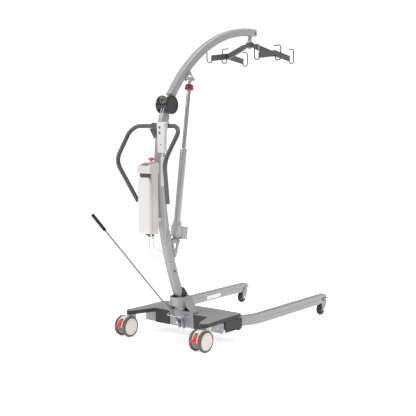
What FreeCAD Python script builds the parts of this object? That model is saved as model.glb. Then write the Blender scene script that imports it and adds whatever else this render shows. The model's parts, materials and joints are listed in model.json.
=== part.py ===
"""Mobile patient hoist with a curved mast, an actuator-driven boom and a sling spreader bar.

X points forward along the legs, Y to the left and Z up. The origin is the middle of the
object's bounding box, on the floor. Lengths are in millimetres.
"""
import FreeCAD, Part
import math
import os

from FreeCAD import Vector, Rotation, Placement

# ---- where the drawing's zero, midway between the wheels, lies in the object's own frame
FRAME_SHIFT = 120.0

# ---- base
BEAM_REAR, BEAM_FRONT = -432.0, -372.0
BEAM_LOW, BEAM_HIGH = 67.0, 127.0
BEAM_HALF = 268.0
ARM_LOW = 133.0
COVER_TOP = 156.0
COVER_RIM = 24.0
COVER_FRONT = -241.0
COVER_HALF = 303.0
NOTCH_X, NOTCH_Y = -450.0, 205.0
SKIRT_REAR = -447.0
CASTOR_X, CASTOR_Y = -568.0, 289.0
ARM_TIP_RADIUS = 30.0
PLATE_HALF = 94.0

# ---- legs
LEG_HIGH, LEG_LOW = 136.0, 78.0
LEG_WIDE = 40.0
LEG_Y = 326.0
LEG_PIVOT = (-322.0, 246.0)
LEG_BEND_X = -135.0
LEG_TIP = 672.0
LEG_CAST_X = 650.0
LEG_CAST_Y = 328.0
LEG_CUT = 112.0

# ---- mast, an arc that leans back and a tighter one that leans forward
MAST_DEEP, MAST_WIDE = 60.0, 44.0
MAST_BACK_X, MAST_BACK_Z = -631.0, 1040.0
MAST_LOWER_R, MAST_UPPER_R = 1900.0, 914.0
MAST_FOOT_Z = 184.0
HUB_Z = 1381.0
HUB_X = MAST_BACK_X + MAST_UPPER_R - math.sqrt(MAST_UPPER_R ** 2 - (HUB_Z - MAST_BACK_Z) ** 2)
HUB_CLEAR = 59.0
HUB_DISC = 110.0
HUB_OUTER = 42.0
AXLE = 20.0

# ---- boom
BOOM_HIGH, BOOM_WIDE = 50.0, 44.0
BOOM_CENTRE = (280.0, 880.0)
BOOM_R = math.hypot(HUB_X - BOOM_CENTRE[0], HUB_Z - BOOM_CENTRE[1])
BOOM_END_X = 289.0
BOOM_TIP_X = 299.0
HANG_X = 247.0
HANG_Z = 1823.0

# ---- actuator
LOWER_PIVOT = (-494.0, 592.0)
UPPER_PIVOT = (-360.0, 1533.0)
ACT_LENGTH = math.hypot(UPPER_PIVOT[0] - LOWER_PIVOT[0], UPPER_PIVOT[1] - LOWER_PIVOT[1])
ACT_TILT = math.degrees(math.atan2(UPPER_PIVOT[0] - LOWER_PIVOT[0], UPPER_PIVOT[1] - LOWER_PIVOT[1]))
ROD = 24.0
TUBE = 40.0
TUBE_END = 531.0
ROD_START = 372.0
SLIDING_FIT = 0.05

# ---- spreader bar
ARM_REACH = 185.0
BAR_Z = 1708.0
BAR_HALF = 174.0
BAR_HIGH = 40.0
BAR_THICK = 8.0
HOOK_WIRE = 8.0
HUB_BLOCK_Z = (1767.0, 1797.0)

# ---- push handle and controls
HANDLE_TUBE = 25.0
CROSS_X, CROSS_Z = -650.0, 1260.0
BOX_FRONT, BOX_REAR = -690.0, -744.0
BOX_LOW, BOX_HIGH = 655.0, 1000.0
HEAD_HIGH = 1058.0
HEAD_REAR = -766.0
BOX_HALF = 46.0
HANDSET_Y = -70.0

# ---- lever
LEVER_Z = 100.0
LEVER_X = -452.0
GRIP_END = (-912.0, 254.0, 757.0)
LEVER_FOOT = (-482.0, 10.0, 128.0)

# ---- castors
REAR_WHEEL, FRONT_WHEEL = 125.0, 76.0
REAR_TRAIL, FRONT_TRAIL = 47.0, 30.0
REAR_GAUGE = 66.0
REAR_TREAD = 22.0


def outward(shape):
    """The same solids, each with its faces turned outwards."""
    solids = []
    for solid in shape.Solids:
        if solid.Volume < 0:
            solid.reverse()
        solids.append(solid)
    return solids[0] if len(solids) == 1 else Part.makeCompound(solids)


def keep(name, shape):
    """Put a finished sub-part in the object's own frame and write it."""
    placed = outward(shape.copy())
    placed.translate(Vector(FRAME_SHIFT, 0, 0))
    placed.exportStep("parts/%s.step" % name)


def box(x0, x1, y0, y1, z0, z1):
    return Part.makeBox(x1 - x0, y1 - y0, z1 - z0, Vector(x0, y0, z0))


def rod_along(start, end, diameter):
    a = Vector(*start)
    b = Vector(*end)
    return Part.makeCylinder(diameter / 2, (b - a).Length, a, b - a)


def across(x, z, y0, y1, diameter):
    """A round bar parallel to Y."""
    return Part.makeCylinder(diameter / 2, y1 - y0, Vector(x, y0, z), Vector(0, 1, 0))


def upright(x, y, z0, z1, diameter):
    return Part.makeCylinder(diameter / 2, z1 - z0, Vector(x, y, z0))


def mirrored(shape):
    return shape.mirror(Vector(0, 0, 0), Vector(0, 1, 0))


def fused(shapes):
    return shapes[0].multiFuse(shapes[1:]).removeSplitter()


def corner_wire(points, radii, closed):
    """Straight runs joined by tangent arcs of the given radius; a radius of 0 is a sharp corner."""
    pts = [Vector(*p) for p in points]
    count = len(pts)
    corners = range(count) if closed else range(1, count - 1)
    cut = {}
    for i in corners:
        if radii[i] == 0:
            continue
        before = (pts[i - 1] - pts[i]).normalize()
        after = (pts[(i + 1) % count] - pts[i]).normalize()
        half_turn = (math.pi - before.getAngle(after)) / 2
        reach = radii[i] * math.tan(half_turn)
        start = pts[i] + before * reach
        end = pts[i] + after * reach
        inward = (before + after).normalize()
        middle = pts[i] + inward * (radii[i] / math.cos(half_turn) - radii[i])
        cut[i] = (start, middle, end)
    edges = []
    for i in range(count if closed else count - 1):
        j = (i + 1) % count
        start = cut[i][2] if i in cut else pts[i]
        end = cut[j][0] if j in cut else pts[j]
        if (end - start).Length > 1e-4:
            edges.append(Part.LineSegment(start, end).toShape())
        if j in cut:
            edges.append(Part.Arc(*cut[j]).toShape())
    return Part.Wire(Part.__sortEdges__(edges))


def outline(points, radius=0.0):
    """A closed face; radius is one value, or one for each corner."""
    radii = radius if isinstance(radius, list) else [radius] * len(points)
    return Part.Face(corner_wire(points, radii, True))


def flat_xy(points, z0, z1, radius=0.0):
    return outline([(x, y, z0) for x, y in points], radius).extrude(Vector(0, 0, z1 - z0))


def flat_xz(points, y0, y1, radius=0.0):
    return outline([(x, y0, z) for x, z in points], radius).extrude(Vector(0, y1 - y0, 0))


def flat_yz(points, x0, x1, radius=0.0):
    return outline([(x0, y, z) for y, z in points], radius).extrude(Vector(x1 - x0, 0, 0))


def swept(wire, diameter):
    first = wire.OrderedEdges[0]
    start = first.valueAt(first.FirstParameter)
    along = first.tangentAt(first.FirstParameter)
    if (start - wire.OrderedVertexes[0].Point).Length > 1e-3:
        start = first.valueAt(first.LastParameter)
        along = first.tangentAt(first.LastParameter) * -1
    ring = Part.Wire(Part.Circle(start, along, diameter / 2).toShape())
    return wire.makePipeShell([ring], True, False)


def bent_tube(points, radii, diameter):
    tube = swept(corner_wire(points, radii, False), diameter)
    if tube.Volume < 0:
        tube.reverse()
    return tube


def cord(name, points, diameter):
    """A cable's tube: each arc is as large as its two runs allow."""
    pts = [Vector(*p) for p in points]
    radii = [0.0]
    for i in range(1, len(pts) - 1):
        before = pts[i] - pts[i - 1]
        after = pts[i + 1] - pts[i]
        half_turn = before.getAngle(after) / 2
        radii.append(0.45 * min(before.Length, after.Length) / math.tan(half_turn))
    radii.append(0.0)
    wire = corner_wire(points, radii, False)
    tube = bent_tube(points, radii, diameter)
    share = tube.Volume / (math.pi * diameter ** 2 / 4 * wire.Length)
    print(name, "length", round(wire.Length), "radii", [round(r) for r in radii[1:-1]],
          "volume share", round(share, 3))
    return tube


def ring_section(point, across_dir, high, wide, corner, wall):
    """The hollow rounded rectangle of a mast or boom tube, upright across the tube's run."""
    faces = []
    for inset in (0.0,) if wall is None else (0.0, wall):
        h = high / 2 - inset
        w = wide / 2 - inset
        corners = [Vector(*point) + Vector(*across_dir) * a + Vector(0, b, 0)
                   for a, b in ((-h, -w), (h, -w), (h, w), (-h, w))]
        r = max(corner - inset, 1.0)
        faces.append(Part.Face(corner_wire([tuple(c) for c in corners], [r] * 4, True)))
    return faces[0] if wall is None else faces[0].cut(faces[1])


def arc_tube(centre, radius, start_deg, end_deg, high, wide, corner=14.0, wall=3.0):
    """A tube bent in the XZ plane about a centre; angles run from +X towards +Z."""
    a = math.radians(start_deg)
    out = (math.cos(a), 0, math.sin(a))
    point = (centre[0] + radius * out[0], 0, centre[1] + radius * out[2])
    section = ring_section(point, out, high, wide, corner, wall)
    return section.revolve(Vector(centre[0], 0, centre[1]), Vector(0, -1, 0), end_deg - start_deg)


def mast_arcs(wall):
    """The mast's two arcs, as tubes of the given wall, or solid where it is None."""
    foot = 180 + math.degrees(math.asin((MAST_BACK_Z - MAST_FOOT_Z) / MAST_LOWER_R))
    crown = 180 - math.degrees(math.asin((HUB_Z - MAST_BACK_Z) / MAST_UPPER_R))
    stop = crown + math.degrees(HUB_CLEAR / MAST_UPPER_R)
    lower = ((MAST_BACK_X + MAST_LOWER_R, MAST_BACK_Z), MAST_LOWER_R, foot, 180)
    upper = ((MAST_BACK_X + MAST_UPPER_R, MAST_BACK_Z), MAST_UPPER_R, 180, stop)
    return [arc_tube(*arc, MAST_DEEP, MAST_WIDE, 14.0, wall) for arc in (lower, upper)]


def mast_body():
    """The space that the mast's tube takes, for the pieces that are cut to fit round it."""
    return fused(mast_arcs(None))


def mast_x(z):
    """The mast's centre line at a height on its lower arc."""
    return MAST_BACK_X + MAST_LOWER_R - math.sqrt(MAST_LOWER_R ** 2 - (MAST_BACK_Z - z) ** 2)


def on_boom(angle, offset=0.0):
    a = math.radians(angle)
    r = BOOM_R + offset
    return (BOOM_CENTRE[0] + r * math.cos(a), BOOM_CENTRE[1] + r * math.sin(a))


def on_actuator(shape):
    """Move a piece drawn upright on the lower pivot to the actuator's lean."""
    placed = shape.copy()
    turn = Rotation(Vector(0, 1, 0), ACT_TILT)
    placed.Placement = Placement(Vector(LOWER_PIVOT[0], 0, LOWER_PIVOT[1]), turn).multiply(placed.Placement)
    return placed


# ---------------------------------------------------------------- base
def chassis_frame():
    tube = box(BEAM_REAR, BEAM_FRONT, -BEAM_HALF, BEAM_HALF, BEAM_LOW, BEAM_HIGH)
    hollow = box(BEAM_REAR + 4, BEAM_FRONT - 4, -BEAM_HALF + 4, BEAM_HALF - 4, BEAM_LOW + 4, BEAM_HIGH - 4)
    parts = [tube.cut(hollow)]
    px, py = LEG_PIVOT
    for side in (1, -1):
        ends = sorted((side * (BEAM_HALF - 1), side * 300.0))
        parts.append(box(BEAM_REAR, BEAM_REAR + 12, ends[0], ends[1], BEAM_LOW, BEAM_HIGH))
        arm = [(BEAM_FRONT, side * 200), (BEAM_REAR, side * 208), (CASTOR_X + 14, side * (CASTOR_Y - 23)),
               (CASTOR_X - 22, side * (CASTOR_Y - 12)), (CASTOR_X - 22, side * (CASTOR_Y + 6)),
               (CASTOR_X + 10, side * (CASTOR_Y + 8)), (BEAM_FRONT, side * 292)]
        parts.append(flat_xy(arm, ARM_LOW, ARM_LOW + 8))
        riser = sorted((side * 212.0, side * 260.0))
        parts.append(box(BEAM_REAR + 1, BEAM_FRONT, riser[0], riser[1], BEAM_HIGH - 1, ARM_LOW + 1))
        for low, high in ((BEAM_LOW, BEAM_LOW + 8), (LEG_HIGH + 3, LEG_HIGH + 11)):
            lug = [(BEAM_REAR + 14, side * (py - 26)), (px + 12, side * (py - 26)),
                   (px + 24, side * (py - 6)), (px + 12, side * (py + 24)), (BEAM_FRONT, side * (py + 10)),
                   (BEAM_REAR + 14, side * (py + 10))]
            parts.append(flat_xy(lug, low, high).cut(upright(px, side * py, low, high, AXLE)))
        post = (BEAM_REAR + 14, BEAM_FRONT, side * (py - 26), side * (py - 8))
        parts.append(box(post[0], post[1], min(post[2:]), max(post[2:]), BEAM_HIGH - 2, LEG_HIGH + 11))
    frame = fused(parts)
    for side in (1, -1):
        frame = frame.cut(upright(CASTOR_X, side * CASTOR_Y, ARM_LOW - 1, ARM_LOW + 9, 12.0))
    return frame


def cover_outline(inset):
    """Half of the cover's plan from the rear notch to the front edge, then its mirror."""
    half = [(NOTCH_X + inset, NOTCH_Y + inset),
            (CASTOR_X - 22.0 + inset, CASTOR_Y - 34.0 + inset), (CASTOR_X - 50.0 + inset, CASTOR_Y + 2.0),
            (CASTOR_X - 14.0, CASTOR_Y + 22.0 - inset), (-430.0, COVER_HALF - inset),
            (COVER_FRONT - inset, COVER_HALF - inset)]
    radii = [6, 26, 22, 24, 60, 22]
    points = half + [(x, -y) for x, y in reversed(half)]
    return points, radii + list(reversed(radii))


def base_cover():
    points, radii = cover_outline(0.0)
    inner, inner_radii = cover_outline(5.0)
    shell = flat_xy(points, COVER_TOP - COVER_RIM, COVER_TOP, radii)
    inner_radii = [max(r - 5, 0) for r in inner_radii]
    shell = shell.cut(flat_xy(inner, COVER_TOP - COVER_RIM - 1, COVER_TOP - 5, inner_radii))
    parts = [shell]
    for side in (1, -1):
        y0, y1 = sorted((side * 96.0, side * (NOTCH_Y - 3)))
        skirt = box(SKIRT_REAR, BEAM_REAR - 1, y0, y1, BEAM_LOW + 1, COVER_TOP - 3)
        skirt = skirt.cut(box(SKIRT_REAR + 4, BEAM_REAR, y0 + 4, y1 - 4, BEAM_LOW, COVER_TOP - 8))
        parts.append(skirt)
    cover = fused(parts)
    for side in (1, -1):
        y0, y1 = sorted((side * 222.0, side * 320.0))
        cover = cover.cut(box(-300, COVER_FRONT + 5, y0, y1, COVER_TOP - COVER_RIM - 1, LEG_HIGH + 3))
    return cover.cut(box(NOTCH_X - 1, -400, -PLATE_HALF - 1, PLATE_HALF + 1, 60, COVER_TOP + 1))


def mast_socket():
    """Back plate on the beam, two sloping flanks and a rounded strap behind the mast's foot."""
    wall = 6.0
    plate = box(BEAM_REAR - 8, BEAM_REAR, -PLATE_HALF, PLATE_HALF, BEAM_LOW, 165)
    floor = box(BEAM_REAR - 8, -401, -PLATE_HALF, PLATE_HALF, BEAM_HIGH + 9, BEAM_HIGH + 15)
    outer = [(-PLATE_HALF, 142), (PLATE_HALF, 142), (PLATE_HALF, 165), (50, 236), (50, 258),
             (-50, 258), (-50, 236), (-PLATE_HALF, 165)]
    inner = [(-PLATE_HALF + wall, 141), (PLATE_HALF - wall, 141), (PLATE_HALF - wall, 162),
             (50 - wall, 233), (50 - wall, 259), (-50 + wall, 259), (-50 + wall, 233), (-PLATE_HALF + wall, 162)]
    hood = flat_yz(outer, -474, -401).cut(flat_yz(inner, -475, -400))
    trim = flat_xz([(-480, 141), (BEAM_REAR - 8, 141), (-480, 206)], -100, 100)
    hood = hood.cut(trim)
    strap = upright(-474, 0, 206, 258, 100).cut(upright(-474, 0, 205, 259, 100 - 2 * wall))
    strap = strap.cut(box(-474, -400, -60, 60, 200, 260))
    return fused([plate, floor, hood, strap]).cut(mast_body())


def mast_wedge():
    """The black gusset in front of the mast's foot, the rear spacer and two bolts."""
    front = [(mast_x(312) + 31, 312), (mast_x(312) + 38, 306), (-343, 172), (-343, COVER_TOP + 0.5),
             (mast_x(160) + 32, COVER_TOP + 0.5), (mast_x(235) + 31.5, 235)]
    spacer = flat_xz([(mast_x(268) - 34, 268), (mast_x(268) - 44, 268), (mast_x(246) - 42, 246),
                      (mast_x(246) - 32, 246)], -12, 12)
    cheeks = [(mast_x(306) + 30, 310), (mast_x(306) + 38, 306), (-352, 190), (-420, 190),
              (mast_x(240) - 8, 240), (mast_x(262), 262)]
    wedge = flat_xz(front, -27, 27).fuse(flat_xz(cheeks, -27, 27)).removeSplitter().cut(mast_body())
    spacer = spacer.cut(mast_body())
    bolts = [across(x, z, side * 29 - 2, side * 29 + 2, 13) for x, z in ((-428, 262), (-402, 222))
             for side in (1, -1)]
    return Part.makeCompound([wedge, spacer] + bolts)


def leg_pivot_pins():
    pins = []
    for side in (1, -1):
        x, y = LEG_PIVOT[0], side * LEG_PIVOT[1]
        shank = upright(x, y, BEAM_LOW - 3, LEG_HIGH + 13, AXLE - 2 * SLIDING_FIT)
        head = upright(x, y, BEAM_LOW - 8, BEAM_LOW - 0.1, 32)
        pins.append(shank.fuse(head).removeSplitter())
    return Part.makeCompound(pins)


# ---------------------------------------------------------------- legs
def leg_left():
    """A leg bar from its pivot, bent to run straight forward, cut away over its castor."""
    px, py = LEG_PIVOT
    h = LEG_WIDE / 2
    run = math.hypot(LEG_BEND_X - px, LEG_Y - py)
    side = ((LEG_Y - py) / run, (LEG_BEND_X - px) / run)
    slope = math.tan(math.atan2(LEG_Y - py, LEG_BEND_X - px) / 2)
    points = [(px - 14, py - 2 - h), (px + side[0] * h, py - side[1] * h),
              (LEG_BEND_X + slope * h, LEG_Y - h), (LEG_TIP, LEG_Y - h), (LEG_TIP, LEG_Y + h),
              (LEG_BEND_X - slope * h, LEG_Y + h), (px - side[0] * h, py + side[1] * h),
              (px - 26, py + 4)]
    bar = flat_xy(points, LEG_LOW, LEG_HIGH, [10, 0, 150, 9, 9, 190, 10, 14])
    bar = bar.fuse(upright(px, py, LEG_LOW, LEG_HIGH, 46)).removeSplitter()
    under = [(588, LEG_LOW - 1), (612, LEG_CUT), (LEG_TIP + 1, LEG_CUT), (LEG_TIP + 1, LEG_LOW - 1)]
    nose = [(LEG_TIP - 18, LEG_HIGH + 1), (LEG_TIP + 1, LEG_HIGH + 1), (LEG_TIP + 1, LEG_CUT + 6)]
    bar = bar.cut(flat_xz(under, LEG_Y - 40, LEG_Y + 40))
    bar = bar.cut(flat_xz(nose, LEG_Y - 40, LEG_Y + 40))
    bar = bar.cut(upright(px, py, LEG_LOW - 1, LEG_HIGH + 1, AXLE))
    for y in (LEG_Y - h, LEG_Y + h):
        groove = box(-95, 575, y - 1.5, y + 1.5, 108, 113)
        bar = bar.cut(groove)
    plate = box(LEG_CAST_X - 34, LEG_CAST_X + 32, LEG_CAST_Y - 27, LEG_CAST_Y + 27, LEG_CUT - 5, LEG_CUT)
    bar = bar.fuse(plate).removeSplitter()
    return bar.cut(upright(LEG_CAST_X, LEG_CAST_Y, LEG_CUT - 6, LEG_CUT + 12, 10.0))


def leg_cover_left():
    """The moulded panel over the leg's root, which turns with the leg."""
    x0, x1 = -404.0, -243.0
    y1 = COVER_HALF - 1
    panel = box(x0, x1, y1 - 4, y1, BEAM_LOW - 1, COVER_TOP - COVER_RIM - 2)
    tie = box(x1 - 34, x1 - 4, y1 - 24, y1, LEG_LOW - 5, LEG_LOW)
    foot = box(x1 - 40, x1 - 12, y1 - 16, y1, BEAM_LOW - 8, BEAM_LOW)
    web = box(x1 - 34, x1 - 14, y1 - 16, y1 - 2, BEAM_LOW - 2, LEG_LOW - 4)
    return fused([panel, tie, foot, web]).cut(leg_left())


# ---------------------------------------------------------------- mast and hub
def mast():
    hub_angle = 180 - math.degrees(math.asin((HUB_Z - MAST_BACK_Z) / MAST_UPPER_R))
    lean = math.radians(hub_angle - 90)
    down = (-math.cos(lean), -math.sin(lean))
    end_x = HUB_X + down[0] * (HUB_CLEAR + 2)
    end_z = HUB_Z + down[1] * (HUB_CLEAR + 2)
    parts = mast_arcs(3.0)
    for y0, y1 in ((-11.5, -5.5), (5.5, 11.5)):
        neck = flat_xz(neck_outline(down, (end_x, end_z), 27), y0, y1)
        parts.append(neck.fuse(across(HUB_X, HUB_Z, y0, y1, 68)))
    parts.append(closing_plate(down, (end_x, end_z), MAST_DEEP, MAST_WIDE))
    solid = fused(parts)
    return solid.cut(across(HUB_X, HUB_Z, -30, 30, AXLE))


def neck_outline(along, end, half):
    """The straight strip from a tube's end to the hub, half wide each side of its middle."""
    ax, az = along
    return [(end[0] - half * az, end[1] + half * ax), (HUB_X - half * az, HUB_Z + half * ax),
            (HUB_X + half * az, HUB_Z - half * ax), (end[0] + half * az, end[1] - half * ax)]


def closing_plate(along, centre, high, wide):
    """The welded plate that closes a tube's end square to its run."""
    ax, az = along
    h = high / 2 - 2
    near = (centre[0] + ax * 1.0, centre[1] + az * 1.0)
    far = (centre[0] + ax * 5.0, centre[1] + az * 5.0)
    points = [(near[0] - az * h, near[1] + ax * h), (near[0] + az * h, near[1] - ax * h),
              (far[0] + az * h, far[1] - ax * h), (far[0] - az * h, far[1] + ax * h)]
    return flat_xz(points, -wide / 2 + 4, wide / 2 - 4)


def hub_cover(side):
    """A dished disc with an hourglass flank that hides one side of the boom's hinge."""
    inner, outer = 12.0, HUB_OUTER
    profile = [(0, inner), (42, inner), (40, inner + 5), (43, inner + 10), (HUB_DISC / 2, outer - 12),
               (HUB_DISC / 2, outer - 3), (HUB_DISC / 2 - 3, outer), (43, outer), (41, outer - 3),
               (0, outer - 3)]
    face = outline([(HUB_X + r, side * y, HUB_Z) for r, y in profile])
    disc = face.revolve(Vector(HUB_X, 0, HUB_Z), Vector(0, 1, 0), 360)
    y0, y1 = sorted((side * (inner - 1), side * (outer - 10)))
    return disc.cut(across(HUB_X, HUB_Z, y0, y1, AXLE + 0.4))


def hub_axle():
    return across(HUB_X, HUB_Z, -HUB_OUTER + 12, HUB_OUTER - 12, AXLE - 2 * SLIDING_FIT)


# ---------------------------------------------------------------- boom
def boom():
    hub_angle = math.degrees(math.atan2(HUB_Z - BOOM_CENTRE[1], HUB_X - BOOM_CENTRE[0]))
    start = hub_angle - math.degrees(HUB_CLEAR / BOOM_R)
    end = math.degrees(math.acos((BOOM_END_X - BOOM_CENTRE[0]) / BOOM_R))
    tube = arc_tube(BOOM_CENTRE, BOOM_R, start, end, BOOM_HIGH, BOOM_WIDE, 12.0)
    lean = math.radians(hub_angle - 90)
    up = (math.cos(lean), math.sin(lean))
    end_x, end_z = on_boom(start - 0.1)
    neck = flat_xz(neck_outline(up, (end_x, end_z), 23), -4.8, 4.8)
    eye = across(HUB_X, HUB_Z, -4.8, 4.8, 66)
    lug = flat_xz([(HANG_X - 11, HANG_Z), (HANG_X + 11, HANG_Z), (HANG_X + 16, 1843), (HANG_X - 16, 1843)], -6, 6)
    lug = lug.fuse(across(HANG_X, HANG_Z, -6, 6, 22))
    solid = fused([tube, neck, eye, closing_plate(up, (end_x, end_z), BOOM_HIGH, BOOM_WIDE), lug])
    solid = solid.cut(across(HUB_X, HUB_Z, -30, 30, AXLE))
    return solid.cut(across(HANG_X, HANG_Z, -20, 20, 10.0))


def boom_bracket():
    """Two ears under the boom with the stub bolts that carry the actuator's top eye."""
    x, z = UPPER_PIVOT
    pieces = []
    for side in (1, -1):
        y0, y1 = sorted((side * 22.2, side * 27.0))
        low = on_boom(137.2, -16)
        high = on_boom(133.4, -16)
        ear = flat_xz([low, high, (x + 12, z - 4), (x - 13, z - 6)], y0, y1, [3, 3, 12, 11])
        window = flat_xz([(low[0] + 20, low[1] + 6), (high[0] - 6, high[1] - 20), (x - 10, z + 14)], y0, y1)
        pieces.append(ear.cut(window))
        b0, b1 = sorted((side * 11.0, side * 22.2))
        h0, h1 = sorted((side * 27.0, side * 33.0))
        f0, f1 = sorted((side * 27.0, side * 31.0))
        pieces.append(across(x, z, b0, b1, 12.0))
        pieces.append(across(x, z, h0, h1, 17.0))
        for screw_x, screw_z in (on_boom(136.4, -10), on_boom(134.3, -10)):
            pieces.append(across(screw_x, screw_z, f0, f1, 9.0))
    return Part.makeCompound(pieces)


def boom_end_cap():
    x0, z0 = BOOM_END_X, on_boom(89.6)[1]
    profile = [(x0 + 0.5, z0 - 25), (x0 + 0.5, z0 + 25), (BOOM_TIP_X, z0 + 25), (BOOM_TIP_X, z0 - 25)]
    return flat_xz(profile, -BOOM_WIDE / 2, BOOM_WIDE / 2, [0, 0, 6, 6])


# ---------------------------------------------------------------- actuator
def motor_housing():
    eye = across(0, 0, -12, 12, 34)
    neck = box(-14, 14, -12, 12, 2, 26)
    gear = flat_xy([(-27, -28), (22, -28), (22, 28), (-27, 28)], 23, 90, 14)
    motor = flat_xy([(16, -33), (72, -33), (72, 31), (16, 31)], 12, 86, 12)
    gland = Part.makeCylinder(6, 14, Vector(-35, -12, 66), Vector(1, 0, 0))
    collar = upright(0, 0, 86, 108, 54)
    body = fused([eye, neck, gear, motor, collar, gland])
    body = body.cut(across(0, 0, -20, 20, 12.0))
    return on_actuator(body.cut(upright(0, 0, 100, 109, TUBE)))


def actuator_tube():
    tube = upright(0, 0, 100, TUBE_END, TUBE - 0.04)
    tube = tube.cut(upright(0, 0, 110, TUBE_END + 1, ROD + 2 * SLIDING_FIT))
    return on_actuator(tube)


def actuator_rod():
    return on_actuator(upright(0, 0, ROD_START, ACT_LENGTH - 44, ROD))


def rod_end_eye():
    eye = across(0, ACT_LENGTH, -10, 10, 30)
    neck = upright(0, 0, ACT_LENGTH - 44, ACT_LENGTH - 8, 18)
    body = eye.fuse(neck).removeSplitter()
    return on_actuator(body.cut(across(0, ACT_LENGTH, -15, 15, 13.0)))


def release_collar():
    """The red ring that is pulled up to let the boom down by hand."""
    low, high = ACT_LENGTH - 62, ACT_LENGTH - 29
    bore = ROD / 2 + 0.5
    profile = [(bore, low), (21, low), (21, low + 16), (27, low + 24), (27, high - 2), (25, high), (bore, high)]
    face = outline([(r, 0, z) for r, z in profile])
    return on_actuator(face.revolve(Vector(0, 0, 0), Vector(0, 0, 1), 360))


def actuator_bracket():
    """Two folded cheeks from the mast's front to the actuator's lower bolt."""
    x, z = LOWER_PIVOT
    top, low = 602.0, 498.0
    back = MAST_DEEP / 2 - 4
    pieces = [flat_xz([(mast_x(top) + back, top), (mast_x(low) + back, low), (mast_x(low) + back + 9, low),
                       (mast_x(top) + back + 9, top)], -22.6, 22.6)]
    for side in (1, -1):
        y0, y1 = sorted((side * 17.0, side * 22.6))
        pieces.append(flat_xz([(mast_x(top) + back, top), (mast_x(low) + back, low), (mast_x(low) + back + 12, low),
                               (x + 4, z - 26), (x + 15, z - 4), (x + 4, z + 13)], y0, y1, [2, 2, 6, 16, 14, 10]))
        window = [(mast_x(z - 8) + back + 14, z - 8), (mast_x(z - 62) + back + 14, z - 62), (x - 14, z - 11)]
        pieces[-1] = pieces[-1].cut(flat_xz(window, -30, 30, 3))
        b0, b1 = sorted((side * 12.6, side * 17.5))
        h0, h1 = sorted((side * 22.0, side * 29.0))
        pieces.append(across(x, z, b0, b1, 11.0))
        pieces.append(across(x, z, h0, h1, 17.0))
    return fused(pieces).cut(mast_body())


# ---------------------------------------------------------------- hanger and spreader
def hanger_head():
    """A clevis on the boom's lug with the swivel stud below it."""
    parts = []
    for side in (1, -1):
        y0, y1 = sorted((side * 6.6, side * 13.0))
        cheek = box(HANG_X - 10, HANG_X + 10, y0, y1, HANG_Z - 22, HANG_Z).fuse(across(HANG_X, HANG_Z, y0, y1, 20))
        parts.append(cheek)
    parts.append(across(HANG_X, HANG_Z, -16, 16, 10.0 - 2 * SLIDING_FIT))
    parts.append(upright(HANG_X, 0, HANG_Z - 26, HANG_Z - 20, 34))
    stud = upright(HANG_X, 0, HUB_BLOCK_Z[0] - 3, HANG_Z - 24, 16.0 - 2 * SLIDING_FIT)
    parts.append(stud)
    parts.append(upright(HANG_X, 0, HUB_BLOCK_Z[0] - 9, HUB_BLOCK_Z[0] - 0.4, 26))
    return fused(parts)


def hanger_hub():
    low, high = HUB_BLOCK_Z[0], HUB_BLOCK_Z[1] - 0.4
    lower = flat_xy([(HANG_X - 21, -27), (HANG_X + 21, -27), (HANG_X + 21, 27), (HANG_X - 21, 27)], low, high - 13, 7)
    upper = flat_xy([(HANG_X - 18, -24), (HANG_X + 18, -24), (HANG_X + 18, 24), (HANG_X - 18, 24)], high - 13, high, 9)
    return lower.fuse(upper).removeSplitter().cut(upright(HANG_X, 0, low - 1, high + 1, 16.0))


def spreader_arms():
    arms = []
    for side in (1, -1):
        tip = side * (ARM_REACH - BAR_THICK / 2 - 0.5)
        low = HUB_BLOCK_Z[0]
        profile = [(side * 25, low + 22), (side * 60, low + 16), (tip, BAR_Z + 26), (tip, BAR_Z - 10),
                   (side * 70, low - 26), (side * 25, low - 2)]
        arms.append(flat_yz(profile, HANG_X - 9, HANG_X + 9, [2, 40, 3, 3, 40, 4]))
    return Part.makeCompound(arms)


def crossbar_left():
    """A flat bar on edge, arched so that its middle stands higher than its ends."""
    x, z, h = HANG_X + 10, BAR_Z, BAR_HIGH / 2
    rise = 14.0
    top = [(x - BAR_HALF, z + 9), (x - 80, z + h + 2), (x, z + h + rise), (x + 80, z + h + 2), (x + BAR_HALF, z + 9)]
    low = [(x + BAR_HALF, z - h - 9), (x + 80, z - h + 3), (x, z - h + rise), (x - 80, z - h + 3),
           (x - BAR_HALF, z - h - 9)]
    radii = [5, 200, 160, 200, 5, 5, 160, 200, 160, 5]
    y = ARM_REACH
    return flat_xz(top + low, y - BAR_THICK / 2, y + BAR_THICK / 2, radii)


def sling_hooks():
    """Six open wire hooks: one at each bar end, in line with it, and one outside each bar's middle."""
    hooks = []
    xm = HANG_X + 10
    for side in (1, -1):
        y = side * ARM_REACH
        for end in (1, -1):
            foot = xm + end * (BAR_HALF - 2)
            out = xm + end * (BAR_HALF + 47)
            low, high = BAR_Z - 38.0, BAR_Z + 52.0
            points = [(foot, y, BAR_Z - 20), (foot + end * 4, y, low), (out, y, low), (out, y, high),
                      (out - end * 48, y, high)]
            hooks.append(bent_tube(points, [0, 8, 20, 14, 0], HOOK_WIRE))
        out = side * (ARM_REACH + 46)
        start = side * (ARM_REACH + BAR_THICK / 2)
        points = [(xm, start, BAR_Z + 2), (xm, start + side * 8, BAR_Z - 30), (xm, out, BAR_Z - 30),
                  (xm, out, BAR_Z + 62), (xm, side * (ARM_REACH - 6), BAR_Z + 62)]
        hooks.append(bent_tube(points, [0, 8, 16, 14, 0], HOOK_WIRE))
    return Part.makeCompound(hooks)


# ---------------------------------------------------------------- push handle and controls
def push_handle():
    corner = (CROSS_X - 8, 187.0, CROSS_Z)
    rear = (-797.0, 182.0, 1065.0)
    end = (-691.0, 113.0, 831.0)
    left = [end, rear, corner]
    points = left + [(x, -y, z) for x, y, z in reversed(left)]
    return bent_tube(points, [0, 90, 64, 64, 90, 0], HANDLE_TUBE)


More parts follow.
